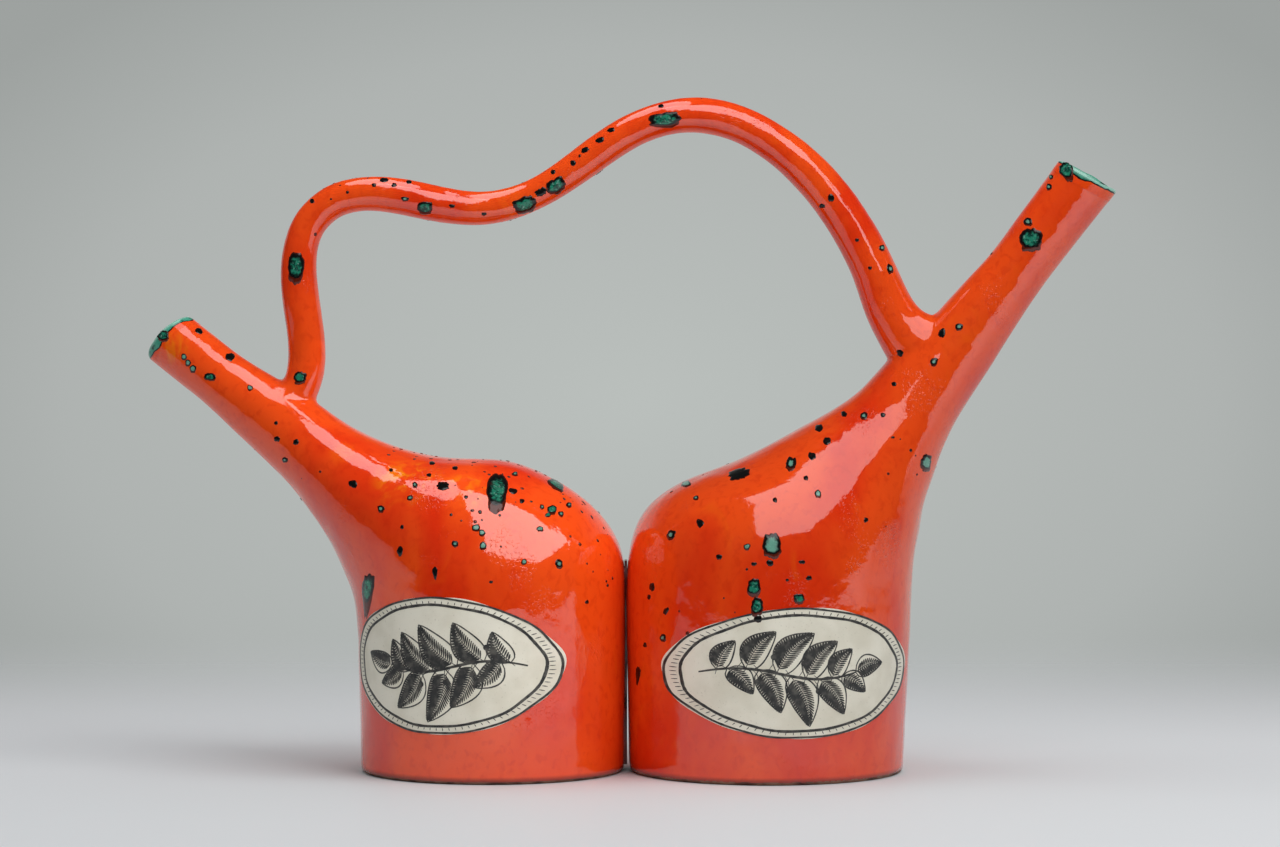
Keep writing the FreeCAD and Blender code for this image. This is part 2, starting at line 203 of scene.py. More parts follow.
def cut(bm, point, normal, reach):
    """Scores a plane into the mesh, within a reach of a point on it, and marks the line."""
    near = []
    for face in bm.faces:
        off = face.calc_center_median() - point
        height = off.dot(normal)
        if abs(height) < 2 * VOXEL and (off - normal * height).length < reach:
            near.append(face)
    edges = {e for f in near for e in f.edges}
    verts = {v for f in near for v in f.verts}
    scored = bmesh.ops.bisect_plane(bm, geom=[*verts, *edges, *near], dist=0.0001 * MM,
                                    plane_co=point, plane_no=normal)
    for part in scored["geom_cut"]:
        if isinstance(part, bmesh.types.BMEdge):
            part.seam = True


def faces_joined(bm, seed, stops):
    """The faces that join the one nearest to a place, without crossing an edge that stops."""
    first = min(bm.faces, key=lambda face: (face.calc_center_median() - seed).length)
    found, waiting = {first}, [first]
    while waiting:
        for edge in waiting.pop().edges:
            if stops(edge):
                continue
            for face in edge.link_faces:
                if face not in found:
                    found.add(face)
                    waiting.append(face)
    return found


def cap(bm, point, normal):
    """Closes the hole that lies in a plane, facing the normal."""
    rim = [e for e in bm.edges if e.is_boundary]
    rim = [e for e in rim if all(abs((v.co - point).dot(normal)) < 0.02 * MM for v in e.verts)]
    made = bmesh.ops.triangle_fill(bm, edges=rim, use_beauty=True, use_dissolve=False, normal=normal)
    for face in made["geom"]:
        if isinstance(face, bmesh.types.BMFace):
            face.normal_update()
            if face.normal.dot(normal) < 0:
                face.normal_flip()


def wobble_at(place):
    """How far the hand-made surface stands in or out at a place."""
    fade = 1.0
    if place.z < CONTACT_TOP:
        fade = smoothstep(2 * MM, WOBBLE_FADE, abs(place.x - CONTACT_X))
    for seat, _ in RING_SEATS.values():
        fade = min(fade, smoothstep(10 * MM, 20 * MM, (place - seat).length))
    wave = sum(noise.noise(place * often + start) * high for often, high, start in WAVES)
    return wave * MM * fade * smoothstep(3 * MM, 18 * MM, place.z)


def finish_skin(name, mesh, cuts, seed):
    """Gives a skin its hand-made surface, cuts it free at its seams, and shades it smooth."""
    bm = bmesh.new()
    bm.from_mesh(mesh)
    bm.normal_update()
    moves = [(v, v.normal * wobble_at(v.co)) for v in bm.verts]
    for vertex, move in moves:
        vertex.co += move
    for point, normal, reach in cuts:
        cut(bm, point, normal, reach)
    kept = faces_joined(bm, seed, lambda edge: edge.seam)
    bmesh.ops.delete(bm, geom=[face for face in bm.faces if face not in kept], context="FACES")
    for point, normal, _ in cuts:
        cap(bm, point, normal)
    bm.normal_update()
    return finished(bm, name, SKIN_CREASE)


SIDES = ("left", "right")
CONTACT_X = (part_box("left_body")[1].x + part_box("right_body")[0].x) / 2
RING_SEATS = {side: shared_plane(side + "_spout", side + "_mouth_ring") for side in SIDES}
# How far from its point each cut reaches
HANDLE_REACH, MOUTH_REACH, GROUND_REACH = 18 * MM, 20 * MM, 80 * MM
# A height at which a vessel's side is plain wall
WALL_HEIGHT = 60 * MM


def handle_seam(side):
    """The plane in which the handle's coil is parted from its foot, facing the coil."""
    point, normal = shared_plane(side + "_handle_foot", "handle")
    return point + normal * HANDLE_SEAM, normal


def vessel_skin(side):
    """The skin of one vessel with its neck, spout and the handle's foot."""
    seam, along = handle_seam(side)
    seat, mouthward = RING_SEATS[side]
    low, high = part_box(side + "_base")
    ground = Vector(((low.x + high.x) / 2, (low.y + high.y) / 2, GLAZE_END))
    cuts = [
        (seam, along, HANDLE_REACH),
        (seat, mouthward, MOUTH_REACH),
        (ground, Vector((0, 0, -1)), GROUND_REACH),
    ]
    pieces = ["_base", "_body", "_spout", "_mouth_ring", "_panel", "_handle_foot"]
    mesh = voxel_skin([side + piece for piece in pieces] + ["handle"])
    return finish_skin(side + "_vessel", mesh, cuts, Vector((ground.x, low.y, WALL_HEIGHT)))


def handle_skin():
    """The skin of the handle's coil, down to just above its two feet."""
    cuts = []
    for side in SIDES:
        seam, along = handle_seam(side)
        cuts.append((seam, -along, HANDLE_REACH))
    pieces = ["_body", "_spout", "_handle_foot"]
    mesh = voxel_skin([side + piece for side in SIDES for piece in pieces] + ["handle"])
    arch = [v.co for v in mesh.vertices if abs(v.co.x) < 80 * MM]
    return finish_skin("wavy_handle", mesh, cuts, max(arch, key=lambda place: place.z).copy())


def solid_of_rows(rows, looped=False):
    """A closed mesh over rows of points that run round; if looped, the last row joins the first."""
    bm = bmesh.new()
    grid = [[bm.verts.new(place) for place in row] for row in rows]
    pairs = list(zip(grid, grid[1:]))
    if looped:
        pairs.append((grid[-1], grid[0]))
    else:
        bm.faces.new(list(reversed(grid[0])))
        bm.faces.new(grid[-1])
    for row, following in pairs:
        for i in range(len(row)):
            j = (i + 1) % len(row)
            bm.faces.new((row[i], row[j], following[j], following[i]))
    bmesh.ops.recalc_face_normals(bm, faces=bm.faces)
    return bm


# The foot ring in millimetres: how wide it is, how far inside the clay its side stands, the
# heights of its hollow and its top, and the small flat in its middle
FOOT_WIDTH = 9.0
FOOT_INSET = 0.5
FOOT_HOLLOW = 1.2
FOOT_TOP = 2.2
FOOT_MIDDLE = 0.4
FOOT_STEPS = 120


def foot_ring(side):
    """The bare clay ring that each vessel stands on, with a shallow hollow inside it."""
    low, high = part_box(side + "_base")
    centre = (low + high) / 2
    outer = (high.x - low.x) / 2 / MM - FOOT_INSET
    inner = outer - FOOT_WIDTH
    profile = [
        (FOOT_MIDDLE, FOOT_HOLLOW), (inner - 1.2, FOOT_HOLLOW), (inner - 0.2, 0.25),
        (inner + 0.2, 0.0), (outer - 1.6, 0.0), (outer - 0.8, 0.2), (outer - 0.25, 0.7),
        (outer, 1.3), (outer - 0.6, FOOT_TOP), (FOOT_MIDDLE, FOOT_TOP),
    ]
    rows = []
    for out, up in profile:
        row = []
        for step in range(FOOT_STEPS):
            angle = math.tau * step / FOOT_STEPS
            flat = Vector((math.cos(angle), math.sin(angle), 0))
            row.append(Vector((centre.x, centre.y, up * MM)) + flat * out * MM)
        rows.append(row)
    return finished(solid_of_rows(rows), side + "_foot_ring", 50)


# The mouths: how far the green glass runs down from the lip, in millimetres, by where on the
# rim it is. Each row is a direction round the mouth in degrees, and the depth there.
GREEN_DEPTHS = {
    "left": [(0, 1.0), (40, 1.2), (80, 2.6), (110, 1.4), (150, 3.2), (170, 4.4), (195, 3.0),
             (230, 2.4), (262, 3.4), (290, 1.8), (330, 1.1)],
    "right": [(0, 2.6), (20, 1.4), (60, 1.2), (100, 1.6), (140, 3.4), (165, 4.6), (180, 4.9),
              (200, 4.2), (225, 1.6), (270, 1.1), (310, 1.3), (340, 2.2)],
}
RIM_STEPS = 144
# What the rim's colour reads inside the mouth, where there is no green
PAST_GREEN = 3.0


def depth_round(table, degrees):
    """The depth from a table of directions, eased between its rows."""
    rows = table + [(table[0][0] + 360, table[0][1])]
    for (angle, depth), (next_angle, next_depth) in zip(rows, rows[1:]):
        if angle <= degrees <= next_angle:
            return depth + (next_depth - depth) * smoothstep(angle, next_angle, degrees)
    return table[0][1]


def rim_profile(outer, bore, tall):
    """The ring's outline as radius and depth below the lip, and the first row past the lip."""
    wall = [(outer, tall - (tall - 1.5) * i / 8) for i in range(8)]
    round_over = [(outer, 1.5), (outer - 0.06, 1.0), (outer - 0.3, 0.5), (outer - 0.75, 0.12)]
    top = [(outer - 1.3, 0.0), ((outer + bore) / 2, -0.05), (bore + 1.2, 0.0)]
    inside = [(bore + 0.6, 0.15), (bore + 0.2, 0.5), (bore, 1.2), (bore, 3.0), (bore, tall)]
    return wall + round_over + top + inside, len(wall) + len(round_over) + 2


def mouth_rim(side):
    """The mouth ring with its rounded, slightly uneven lip, and how deep the green runs."""
    mount = next(m for m in frame["record"]["mounts"] if m["name"] == side + "_mouth")
    axis = Vector(mount["axis"]).normalized()
    centre = Vector(mount["pos_m"]) + axis * mount["dims"]["length_mm"] * MM / 2
    seat, facing = RING_SEATS[side]
    offs = [v.co - centre for v in frame["nodes"][side + "_mouth_ring"].data.vertices]
    outer = max((off - axis * off.dot(axis)).length for off in offs) / MM
    tall = (centre - seat).dot(facing) / axis.dot(facing) / MM
    profile, past_lip = rim_profile(outer, mount["dims"]["r_mm"], tall)
    right = Vector((0, 0, 1)).cross(-axis).normalized()
    up = axis.cross(right)
    rows = []
    for radius, depth in profile:
        row = []
        for step in range(RIM_STEPS):
            angle = math.tau * step / RIM_STEPS
            flat = right * math.cos(angle) + up * math.sin(angle)
            slant = -radius * flat.dot(facing) / axis.dot(facing)
            uneven = noise.noise(flat * 1.6 + centre * 40) * 0.45 * (1 - min(1.0, depth / (tall - 0.5)))
            row.append(centre + (flat * radius + axis * (slant - depth + uneven)) * MM)
        rows.append(row)
    rim = finished(solid_of_rows(rows, looped=True), side + "_rim", 50)
    past_edge = rim.data.attributes.new("past_edge", "FLOAT", "POINT")
    # The lip attribute is the depth below the lip's top, where the rim's finish paints a pale highlight.
    lip = rim.data.attributes.new("lip", "FLOAT", "POINT")
    for i, (_, depth) in enumerate(profile):
        inner = PAST_GREEN if i >= len(profile) - 3 else 0.0
        for step in range(RIM_STEPS):
            green = depth_round(GREEN_DEPTHS[side], 360 * step / RIM_STEPS)
            past_edge.data[i * RIM_STEPS + step].value = depth - green + inner
            lip.data[i * RIM_STEPS + step].value = PAST_GREEN if i >= past_lip else max(0.0, depth)
    return rim


# The groove's glaze in millimetres: where it starts, how far forward it reaches and how
# unevenly, and half its width
GROOVE_START = 2.5
GROOVE_FRONT = -2.6
GROOVE_UNEVEN = 0.9
GROOVE_HALF = 0.55
GROOVE_STEPS = 60


def groove():
    """The dark glaze that ran into the narrow groove between the two vessels."""
    _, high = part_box("slip_seam")
    left, right = CONTACT_X - GROOVE_HALF * MM, CONTACT_X + GROOVE_HALF * MM
    start = GROOVE_START * MM
    rows = []
    for step in range(GROOVE_STEPS + 1):
        height = start + (high.z - start) * step / GROOVE_STEPS
        waves = noise.noise(Vector((0.3, 0.7, height * 90)))
        front = (GROOVE_FRONT + GROOVE_UNEVEN * waves) * MM
        rows.append([(left, front, height), (right, front, height),
                     (right, high.y, height), (left, high.y, height)])
    return finished(solid_of_rows(rows), "groove_glaze", 30)


# Drops are laid by looking through the camera


def through_pixel(x, y):
    """The direction from the camera through a place in the picture."""
    across = (x - PICTURE_WIDTH / 2) / FOCAL_PIXELS
    upward = (PICTURE_HEIGHT / 2 - y) / FOCAL_PIXELS
    ahead = Vector((across, 1.0, upward)).normalized()
    return Matrix.Rotation(-CAMERA_TILT_DOWN, 3, "X") @ ahead


# Each row is one drop of glass seen from the front: its place in the picture, its width and
# height there, what it is, how far it leans in degrees, and how far it runs down. The last
# two are left out where they are 0.
# "green" has a green heart in a dark rim, "pale" a greyer one, "ring" is a small pale heart
# in a thick rim, and "dark" is black all over. On the front, "pale" marks drops that lie in the
# lamps' reflections, so there their paler heart is a painted highlight; on the back it is pale glass.
Drop = namedtuple("Drop", "x y width height kind lean run", defaults=(0, 0.0))
FRONT_DROPS = [
    (497, 493, 21, 40, "green"), (556, 485, 19, 9, "green", 35), (443, 486, 12, 9, "dark"),
    (353, 484, 9, 8, "dark"), (381, 509, 7, 8, "ring"), (415, 485, 6, 6, "ring"),
    (410, 498, 6, 6, "ring"), (429, 475, 5, 4, "dark"), (432, 463, 6, 4, "dark"),
    (455, 468, 6, 4, "dark"), (515, 474, 6, 5, "ring"), (513, 491, 9, 6, "dark", 20),
    (522, 501, 5, 5, "dark"), (552, 510, 10, 10, "green"), (548, 515, 6, 5, "green"),
    (542, 507, 5, 5, "ring"), (561, 514, 6, 6, "ring"), (569, 505, 6, 6, "ring"),
    (476, 528, 8, 8, "pale"), (482, 533, 7, 7, "pale"), (483, 546, 7, 9, "pale"),
    (540, 529, 7, 6, "pale"), (524, 562, 6, 6, "pale"), (559, 564, 8, 10, "ring"),
    (455, 544, 7, 7, "ring"), (400, 551, 7, 9, "dark", 0, 0.3), (435, 572, 6, 10, "dark", 0, 0.6),
    (368, 589, 12, 32, "green", 4, 0.9), (480, 512, 4, 4, "dark"), (466, 497, 4, 4, "dark"),
    (391, 470, 4, 4, "dark"), (402, 527, 4, 4, "dark"), (587, 602, 4, 4, "dark"),
    (491, 582, 4, 3, "dark"), (739, 474, 22, 11, "dark", -18), (686, 484, 10, 7, "pale"),
    (696, 498, 6, 5, "ring"), (700, 523, 8, 8, "dark", 0, 0.3), (671, 535, 8, 11, "ring", 20),
    (719, 557, 6, 6, "dark"), (652, 587, 6, 8, "dark"), (649, 597, 4, 5, "dark"),
    (666, 611, 5, 8, "dark", 25), (663, 638, 6, 9, "ring"), (645, 645, 4, 5, "dark"),
    (638, 674, 5, 15, "dark", 4, 0.5), (772, 546, 18, 27, "pale"), (770, 563, 7, 7, "dark"),
    (747, 547, 7, 7, "pale"), (818, 494, 7, 8, "pale"), (791, 464, 10, 15, "ring", 15),
    (812, 456, 8, 8, "dark"), (827, 441, 8, 8, "dark"), (819, 428, 8, 8, "dark"),
    (844, 414, 6, 6, "dark"), (864, 416, 8, 8, "ring"), (883, 415, 5, 5, "dark"),
    (894, 384, 5, 5, "dark"), (866, 520, 5, 5, "dark"), (754, 588, 13, 20, "green"),
    (757, 607, 12, 20, "green"), (758, 619, 9, 7, "dark"), (799, 599, 11, 11, "green"),
    (802, 562, 7, 4, "dark"), (809, 578, 6, 5, "dark"), (754, 564, 6, 4, "dark"),
    (926, 463, 11, 18, "pale", 12), (806, 478, 5, 5, "dark"), (775, 500, 5, 5, "dark"),
    (296, 268, 16, 33, "green", 6), (300, 378, 13, 13, "green"), (384, 180, 9, 5, "dark"),
    (374, 185, 5, 4, "dark"), (394, 185, 6, 4, "dark"), (409, 182, 6, 4, "dark"),
    (405, 199, 8, 5, "ring"), (425, 208, 15, 14, "green"), (312, 201, 5, 5, "dark"),
    (525, 205, 24, 17, "green", -20), (541, 192, 12, 8, "dark", -30), (556, 186, 20, 16, "green", -25),
    (600, 140, 9, 6, "dark", -20), (585, 150, 8, 6, "dark", -30), (573, 163, 6, 6, "dark"),
    (611, 130, 8, 5, "dark", -20), (553, 172, 5, 5, "dark"), (665, 120, 32, 16, "green", -6),
    (661, 106, 6, 4, "dark"), (831, 198, 7, 8, "dark"), (822, 206, 6, 5, "dark"),
    (882, 248, 6, 7, "ring"), (890, 269, 7, 10, "ring", -15), (900, 353, 7, 7, "dark"),
    (942, 333, 7, 10, "dark", 10), (959, 327, 8, 8, "ring"), (934, 362, 8, 9, "ring"),
    (1031, 240, 22, 25, "green"), (1028, 222, 9, 9, "ring"), (1049, 187, 6, 7, "ring"),
    (1051, 177, 5, 5, "ring"), (1067, 171, 15, 20, "green", -20, 0.2), (230, 357, 10, 8, "dark", 20),
    (199, 331, 8, 6, "dark", 20), (210, 377, 12, 8, "green", 10), (184, 357, 6, 7, "pale"),
    (188, 363, 6, 7, "pale"), (193, 369, 7, 8, "pale"), (250, 388, 6, 6, "pale"),
    (277, 439, 6, 6, "dark"), (296, 442, 6, 6, "dark"), (276, 423, 4, 4, "dark"),
    (285, 460, 6, 6, "ring"), (163, 336, 12, 12, "green"), (452, 206, 6, 4, "dark"),
    (484, 214, 5, 4, "dark"), (870, 268, 4, 4, "dark"), (857, 240, 4, 4, "dark"),
]
GLASS_KINDS = {"green": 1.0, "pale": 1.6, "ring": 2.2, "dark": 0.0}
# How many rings of faces a drop has, and how many faces go round it: small drops, then large
DROP_RINGS = {False: 3, True: 6}
DROP_STEPS = {False: 12, True: 36}
LARGE_DROP = 10.5
# 0 is round and 1 is square
SQUARENESS = 0.35
# The least and most of the waves in a drop's outline, as shares of its size: in small drops,
# in large ones, and the finer ones that large drops have as well
DROP_WAVES = {False: (0.03, 0.11), True: (0.02, 0.06)}
FINE_WAVES = (0.015, 0.04)
# How much narrower a drop is at the end of its run
RUN_NARROWS = 0.55
# A drop's height on the glaze in millimetres: the least, the gain with its size, the most
DROP_LEAST, DROP_GAIN, DROP_MOST = 0.12, 0.022, 0.5
# How far a drop's underside lies in the glaze, and how far its edge does
DROP_SUNK = 0.25 * MM
EDGE_SUNK = 0.02 * MM

# The drops on the back: how many, where they are seen from, and where they fall, in pixels
# of a like picture, with most of them above the second height and few below the first
BACK_DROPS = 64
BEHIND = Vector((0.0, 1.4, 0.16))
BACK_ACROSS = (150, 1110)
BACK_DOWN = (100, 700)
BACK_FADE = (720, 380)
# They lie only where the glaze faces the view by this much, and this far from the groove
BACK_FACING = 0.45
BACK_CLEAR = 8 * MM


def drop_rows(drop, ragged, chance):
    """The outline of a drop in the picture, from its heart to its rim, ring by ring."""
    large = max(drop.width, drop.height) > LARGE_DROP
    last, steps = DROP_RINGS[large], DROP_STEPS[large]
    waves = [(chance.uniform(*DROP_WAVES[large]), k, chance.uniform(0, math.tau)) for k in (2, 3, 5)]
    if large:
        for k in (7, 9, 12):
            waves.append((chance.uniform(*FINE_WAVES) * ragged, k, chance.uniform(0, math.tau)))
    cos, sin = math.cos(math.radians(drop.lean)), math.sin(math.radians(drop.lean))
    rings = []
    for ring in range(1, last + 1):
        share = (ring / last) ** 0.8
        row = []
        for step in range(steps):
            angle = math.tau * step / steps
            out = share * (1 + sum(size * math.sin(k * angle + phase) for size, k, phase in waves))
            square = 1 / max(abs(math.cos(angle)), abs(math.sin(angle))) ** SQUARENESS
            across = out * square * math.cos(angle) * drop.width / 2
            down = out * square * math.sin(angle) * drop.height / 2
            if drop.run and down > 0:
                across *= 1 - RUN_NARROWS * min(1.0, down / drop.height * 2)
                down *= 1 + drop.run
            row.append((drop.x + across * cos - down * sin, drop.y + across * sin + down * cos,
                        1 - share, down / drop.height))
        rings.append(row)
    return rings


class DropField:
    """Drops of glass that share one mesh, laid on surfaces seen from one place."""

    def __init__(self, tree, start, look):
        """look turns a place in the picture into a direction."""
        self.tree, self.start, self.look = tree, start, look
        self.bm = bmesh.new()
        self.heart = self.bm.verts.layers.float.new("heart")
        self.glass = self.bm.verts.layers.float.new("glass")

    def hit(self, x, y):
        """The place, facing, face and distance that are met first, all None where none is."""
        return self.tree.ray_cast(self.start, self.look(x, y))

    def add(self, rows, kind, size):
        """Lays one drop, as high as suits its size in the picture."""
        steps = len(rows[0])
        x = sum(point[0] for point in rows[0]) / steps
        y = sum(point[1] for point in rows[0]) / steps
        distance = self.hit(x, y)[3]
        if distance is None:
            return

        def lay(x, y, heart, low, rise):
            """One vertex of the drop, risen from the glaze and marked with its glass."""
            place, facing, _, _ = self.hit(x, y)
            if place is None:
                place, facing, _, _ = self.tree.find_nearest(self.start + self.look(x, y) * distance)
            vertex = self.bm.verts.new(place + facing * rise)
            vertex[self.heart] = heart - 1.5 * max(0.0, low - 0.12) * (kind != "dark")
            vertex[self.glass] = GLASS_KINDS[kind]
            return vertex

        thick = min(DROP_MOST, DROP_LEAST + DROP_GAIN * size) * MM
        top = lay(x, y, 1.0, 0.0, thick)
        bottom = lay(x, y, 1.0, 0.0, -DROP_SUNK)
        layers = []
        for i, row in enumerate(rows, 1):
            rise = thick * math.sqrt(1 - (i / len(rows)) ** 2) if i < len(rows) else -EDGE_SUNK
            layers.append([lay(*point, rise) for point in row])
        layers.append([lay(*point, -DROP_SUNK) for point in rows[-1]])
        for step in range(steps):
            following = (step + 1) % steps
            self.bm.faces.new((top, layers[0][following], layers[0][step]))
            for row, next_row in zip(layers, layers[1:]):
                self.bm.faces.new((row[step], row[following], next_row[following], next_row[step]))
            self.bm.faces.new((bottom, layers[-1][step], layers[-1][following]))

    def finish(self, name):
        """The object of all that was laid or drawn."""
        bmesh.ops.recalc_face_normals(self.bm, faces=self.bm.faces)
        return finished(self.bm, name, 60)


def front_drops(tree):
    """The drops that the front shows, laid on the skins through the camera."""
    field = DropField(tree, CAMERA_PLACE, through_pixel)
    chance = random.Random(11)
    for row in FRONT_DROPS:
        drop = Drop(*row)
        rows = drop_rows(drop, 2.0 if drop.kind == "dark" else 1.0, chance)
        if field.hit(drop.x, drop.y)[0]:
            field.add(rows, drop.kind, min(drop.width, drop.height))
    return field.finish("glass_drops_front")


def look_from_behind(x, y):
    """The direction through a place in a like picture taken from behind."""
    ahead = through_pixel(x, y)
    return Vector((ahead.x, -ahead.y, ahead.z))


def back_drops(tree):
    """Like drops on the back, which fell by chance."""
    field = DropField(tree, BEHIND, look_from_behind)
    chance = random.Random(5)
    laid = 0
    while laid < BACK_DROPS:
        x, y = chance.uniform(*BACK_ACROSS), chance.uniform(*BACK_DOWN)
        place, facing, _, _ = field.hit(x, y)
        if place is None or chance.random() > 0.25 + 0.75 * smoothstep(*BACK_FADE, y):
            continue
        oblique = facing.dot(look_from_behind(x, y)) > -BACK_FACING
        if oblique or abs(place.x - CONTACT_X) < BACK_CLEAR:
            continue
        size = 5 + 17 * chance.random() ** 3
        kind = "green" if size > 12 else chance.choice(["dark", "dark", "ring", "pale"])
        drop = Drop(x, y, size, size * chance.uniform(0.8, 1.5), kind, chance.uniform(-30, 30))
        field.add(drop_rows(drop, 1.0, chance), kind, size)
        laid += 1
    return field.finish("glass_drops_back")


# Node helpers for the materials, the spatter and the world


class Nodes:
    """A node tree whose nodes are added one after another."""

    def __init__(self, tree):
        self.tree = tree

    def node(self, kind, inputs=None, **settings):
        """A node with its settings made, and its inputs linked or set."""
        made = self.tree.nodes.new(kind)
        for setting, value in settings.items():
            setattr(made, setting, value)
        for socket, value in (inputs or {}).items():
            self.feed(made.inputs[socket], value)
        return made

    def feed(self, socket, value):
        """Links an output to a socket, or sets the socket's own value."""
        if isinstance(value, bpy.types.NodeSocket):
            self.tree.links.new(value, socket)
        else:
            socket.default_value = value

    def math(self, how, *values):
        """A sum, product or the like of values."""
        return self.node("ShaderNodeMath", dict(enumerate(values)), operation=how).outputs[0]

    def span(self, value, low, high, to_low=0.0, to_high=1.0, ease="SMOOTHSTEP"):
        """The value spread from one range to another."""
        ranges = dict(enumerate((value, low, high, to_low, to_high)))
        return self.node("ShaderNodeMapRange", ranges, interpolation_type=ease).outputs[0]

    def distance(self, where, place):
        """How far one point is from another."""
        made = self.node("ShaderNodeVectorMath", {0: where, 1: place}, operation="DISTANCE")
        return made.outputs["Value"]

    def blend(self, factor, first, second):
        """One colour mixed over another."""
        return self.node("ShaderNodeMix", {0: factor, 6: first, 7: second}, data_type="RGBA").outputs[2]


class Finish(Nodes):
    """A material whose nodes are added one after another."""

    def __init__(self, name, **sockets):
        self.material = bpy.data.materials.new(name)
        self.material.use_nodes = True
        super().__init__(self.material.node_tree)
        self.shader = self.tree.nodes["Principled BSDF"]
        for socket, value in sockets.items():
            self.shader.inputs[socket].default_value = value
        self.where = self.node("ShaderNodeTexCoord").outputs["Object"]

    def cloud(self, size_mm, detail=3.0, stretch=(1, 1, 1), warp=0.0):
        """Noise whose blotches are about this many millimetres wide."""
        place = self.node("ShaderNodeMapping", {"Vector": self.where, "Scale": stretch}).outputs[0]
        noise_inputs = {"Vector": place, "Scale": 1 / MM / size_mm, "Detail": detail, "Distortion": warp}
        return self.node("ShaderNodeTexNoise", noise_inputs).outputs[0]

    def within(self, middle, size, core, most=1.0):
        """0 past a size from a middle, in millimetres, and the most inside its core, a share of it."""
        away = self.distance(self.where, Vector(middle) * MM)
        return self.span(away, size * MM, size * core * MM, 0.0, most)

    def attribute(self, name):
        """A number that the mesh carries at each vertex."""
        return self.node("ShaderNodeAttribute", attribute_name=name).outputs["Fac"]

    def done(self, shown, *bumps):
        """The material with its colour and its bumps, each a height and its depth in millimetres."""
        self.feed(self.shader.inputs["Base Color"], shown)
        normal = None
        for height, depth in bumps:
            inputs = {"Height": height, "Strength": 1.0, "Distance": depth * MM}
            made = self.node("ShaderNodeBump", inputs)
            if normal:
                self.feed(made.inputs["Normal"], normal)
            normal = made.outputs[0]
            self.feed(self.shader.inputs["Normal"], normal)
        return self.material


# Fine spatter, scattered by a node tree: how many beads fall on a square metre, the smallest
# and largest, how much they are drawn out, and how flat they lie
VESSEL_BEADS, HANDLE_BEADS = 26000.0, 30000.0
BEAD_SIZES = (0.25 * MM, 0.85 * MM)
BEAD_STRETCH = (0.75, 1.25)
BEAD_FLATNESS = 0.30
BEAD_SEGMENTS, BEAD_RINGS = 8, 5
SPATTER_SEED = 4
STRETCH_SEED = 7


def outer_dust(skin, seed):
    """Marks the outside of a skin with how much spatter falls on it, and none inside."""
    bm = bmesh.new()
    bm.from_mesh(skin.data)
    amounts = [0.0] * len(bm.verts)
    for face in faces_joined(bm, seed, lambda edge: not edge.smooth):
        for vertex in face.verts:
            place = vertex.co
            falls = 0.22 + 0.78 * smoothstep(-0.2, 0.7, vertex.normal.z)
            clumps = smoothstep(-0.05, 0.50, noise.noise(place * 22)) ** 1.5
            height = 0.30 + 0.70 * smoothstep(0.06, 0.12, place.z)
            amounts[vertex.index] = falls * clumps * height * smoothstep(6 * MM, 20 * MM, place.z)
    bm.free()
    dust = skin.data.attributes.new("dust", "FLOAT", "POINT")
    dust.data.foreach_set("value", amounts)


def spatter_tree(finish):
    """A node tree that sets small flat beads of glass on a surface."""
    tree = bpy.data.node_groups.new("glass_spatter", "GeometryNodeTree")
    tree.interface.new_socket("Surface", in_out="INPUT", socket_type="NodeSocketGeometry")
    for name in ("Beads per square metre", "Smallest", "Largest"):
        tree.interface.new_socket(name, in_out="INPUT", socket_type="NodeSocketFloat")
    tree.interface.new_socket("Seed", in_out="INPUT", socket_type="NodeSocketInt")
    tree.interface.new_socket("Beads", in_out="OUTPUT", socket_type="NodeSocketGeometry")
    spatter = Nodes(tree)
    given = spatter.node("NodeGroupInput").outputs
    dust = spatter.node("GeometryNodeInputNamedAttribute", {"Name": "dust"}, data_type="FLOAT")
    density = spatter.math("MULTIPLY", dust.outputs["Attribute"], given["Beads per square metre"])
    points = spatter.node("GeometryNodeDistributePointsOnFaces", {
        "Mesh": given["Surface"], "Density": density, "Seed": given["Seed"]}).outputs
    size = spatter.node("FunctionNodeRandomValue", {
        2: given["Smallest"], 3: given["Largest"], "Seed": given["Seed"]}, data_type="FLOAT").outputs[1]
    stretch = spatter.node("FunctionNodeRandomValue", {
        2: BEAD_STRETCH[0], 3: BEAD_STRETCH[1], "Seed": STRETCH_SEED}, data_type="FLOAT").outputs[1]
    shape = spatter.node("ShaderNodeCombineXYZ", {
        "X": spatter.math("MULTIPLY", size, stretch), "Y": size,
        "Z": spatter.math("MULTIPLY", size, BEAD_FLATNESS)})
    bead = spatter.node("GeometryNodeMeshUVSphere", {
        "Segments": BEAD_SEGMENTS, "Rings": BEAD_RINGS, "Radius": 1.0})
    placed = spatter.node("GeometryNodeInstanceOnPoints", {
        "Points": points["Points"], "Rotation": points["Rotation"],
        "Instance": bead.outputs["Mesh"], "Scale": shape.outputs[0]})
    real = spatter.node("GeometryNodeRealizeInstances", {0: placed.outputs[0]})
    smooth = spatter.node("GeometryNodeSetShadeSmooth", {0: real.outputs[0]})
    coat = spatter.node("GeometryNodeSetMaterial", {"Geometry": smooth.outputs[0], "Material": finish})
    spatter.node("NodeGroupOutput", {"Beads": coat.outputs[0]})
    return tree


def spatter(skin, tree, name, amount):
    """Fine beads of dark glass over one skin, as a plain mesh."""
    carrier = add_object(name + "_carrier", skin.data)
    scatter = carrier.modifiers.new("spatter", "NODES")
    scatter.node_group = tree
    values = {"Beads per square metre": amount, "Smallest": BEAD_SIZES[0], "Largest": BEAD_SIZES[1],
              "Seed": SPATTER_SEED}
    for socket in tree.interface.items_tree:
        if socket.name in values and socket.in_out == "INPUT":
            scatter[socket.identifier] = values[socket.name]
    shown = carrier.evaluated_get(bpy.context.evaluated_depsgraph_get())
    mesh = bpy.data.meshes.new_from_object(shown)
    carrier.modifiers.remove(scatter)
    bpy.data.objects.remove(carrier)
    mesh.name = name
    return add_object(name, mesh)


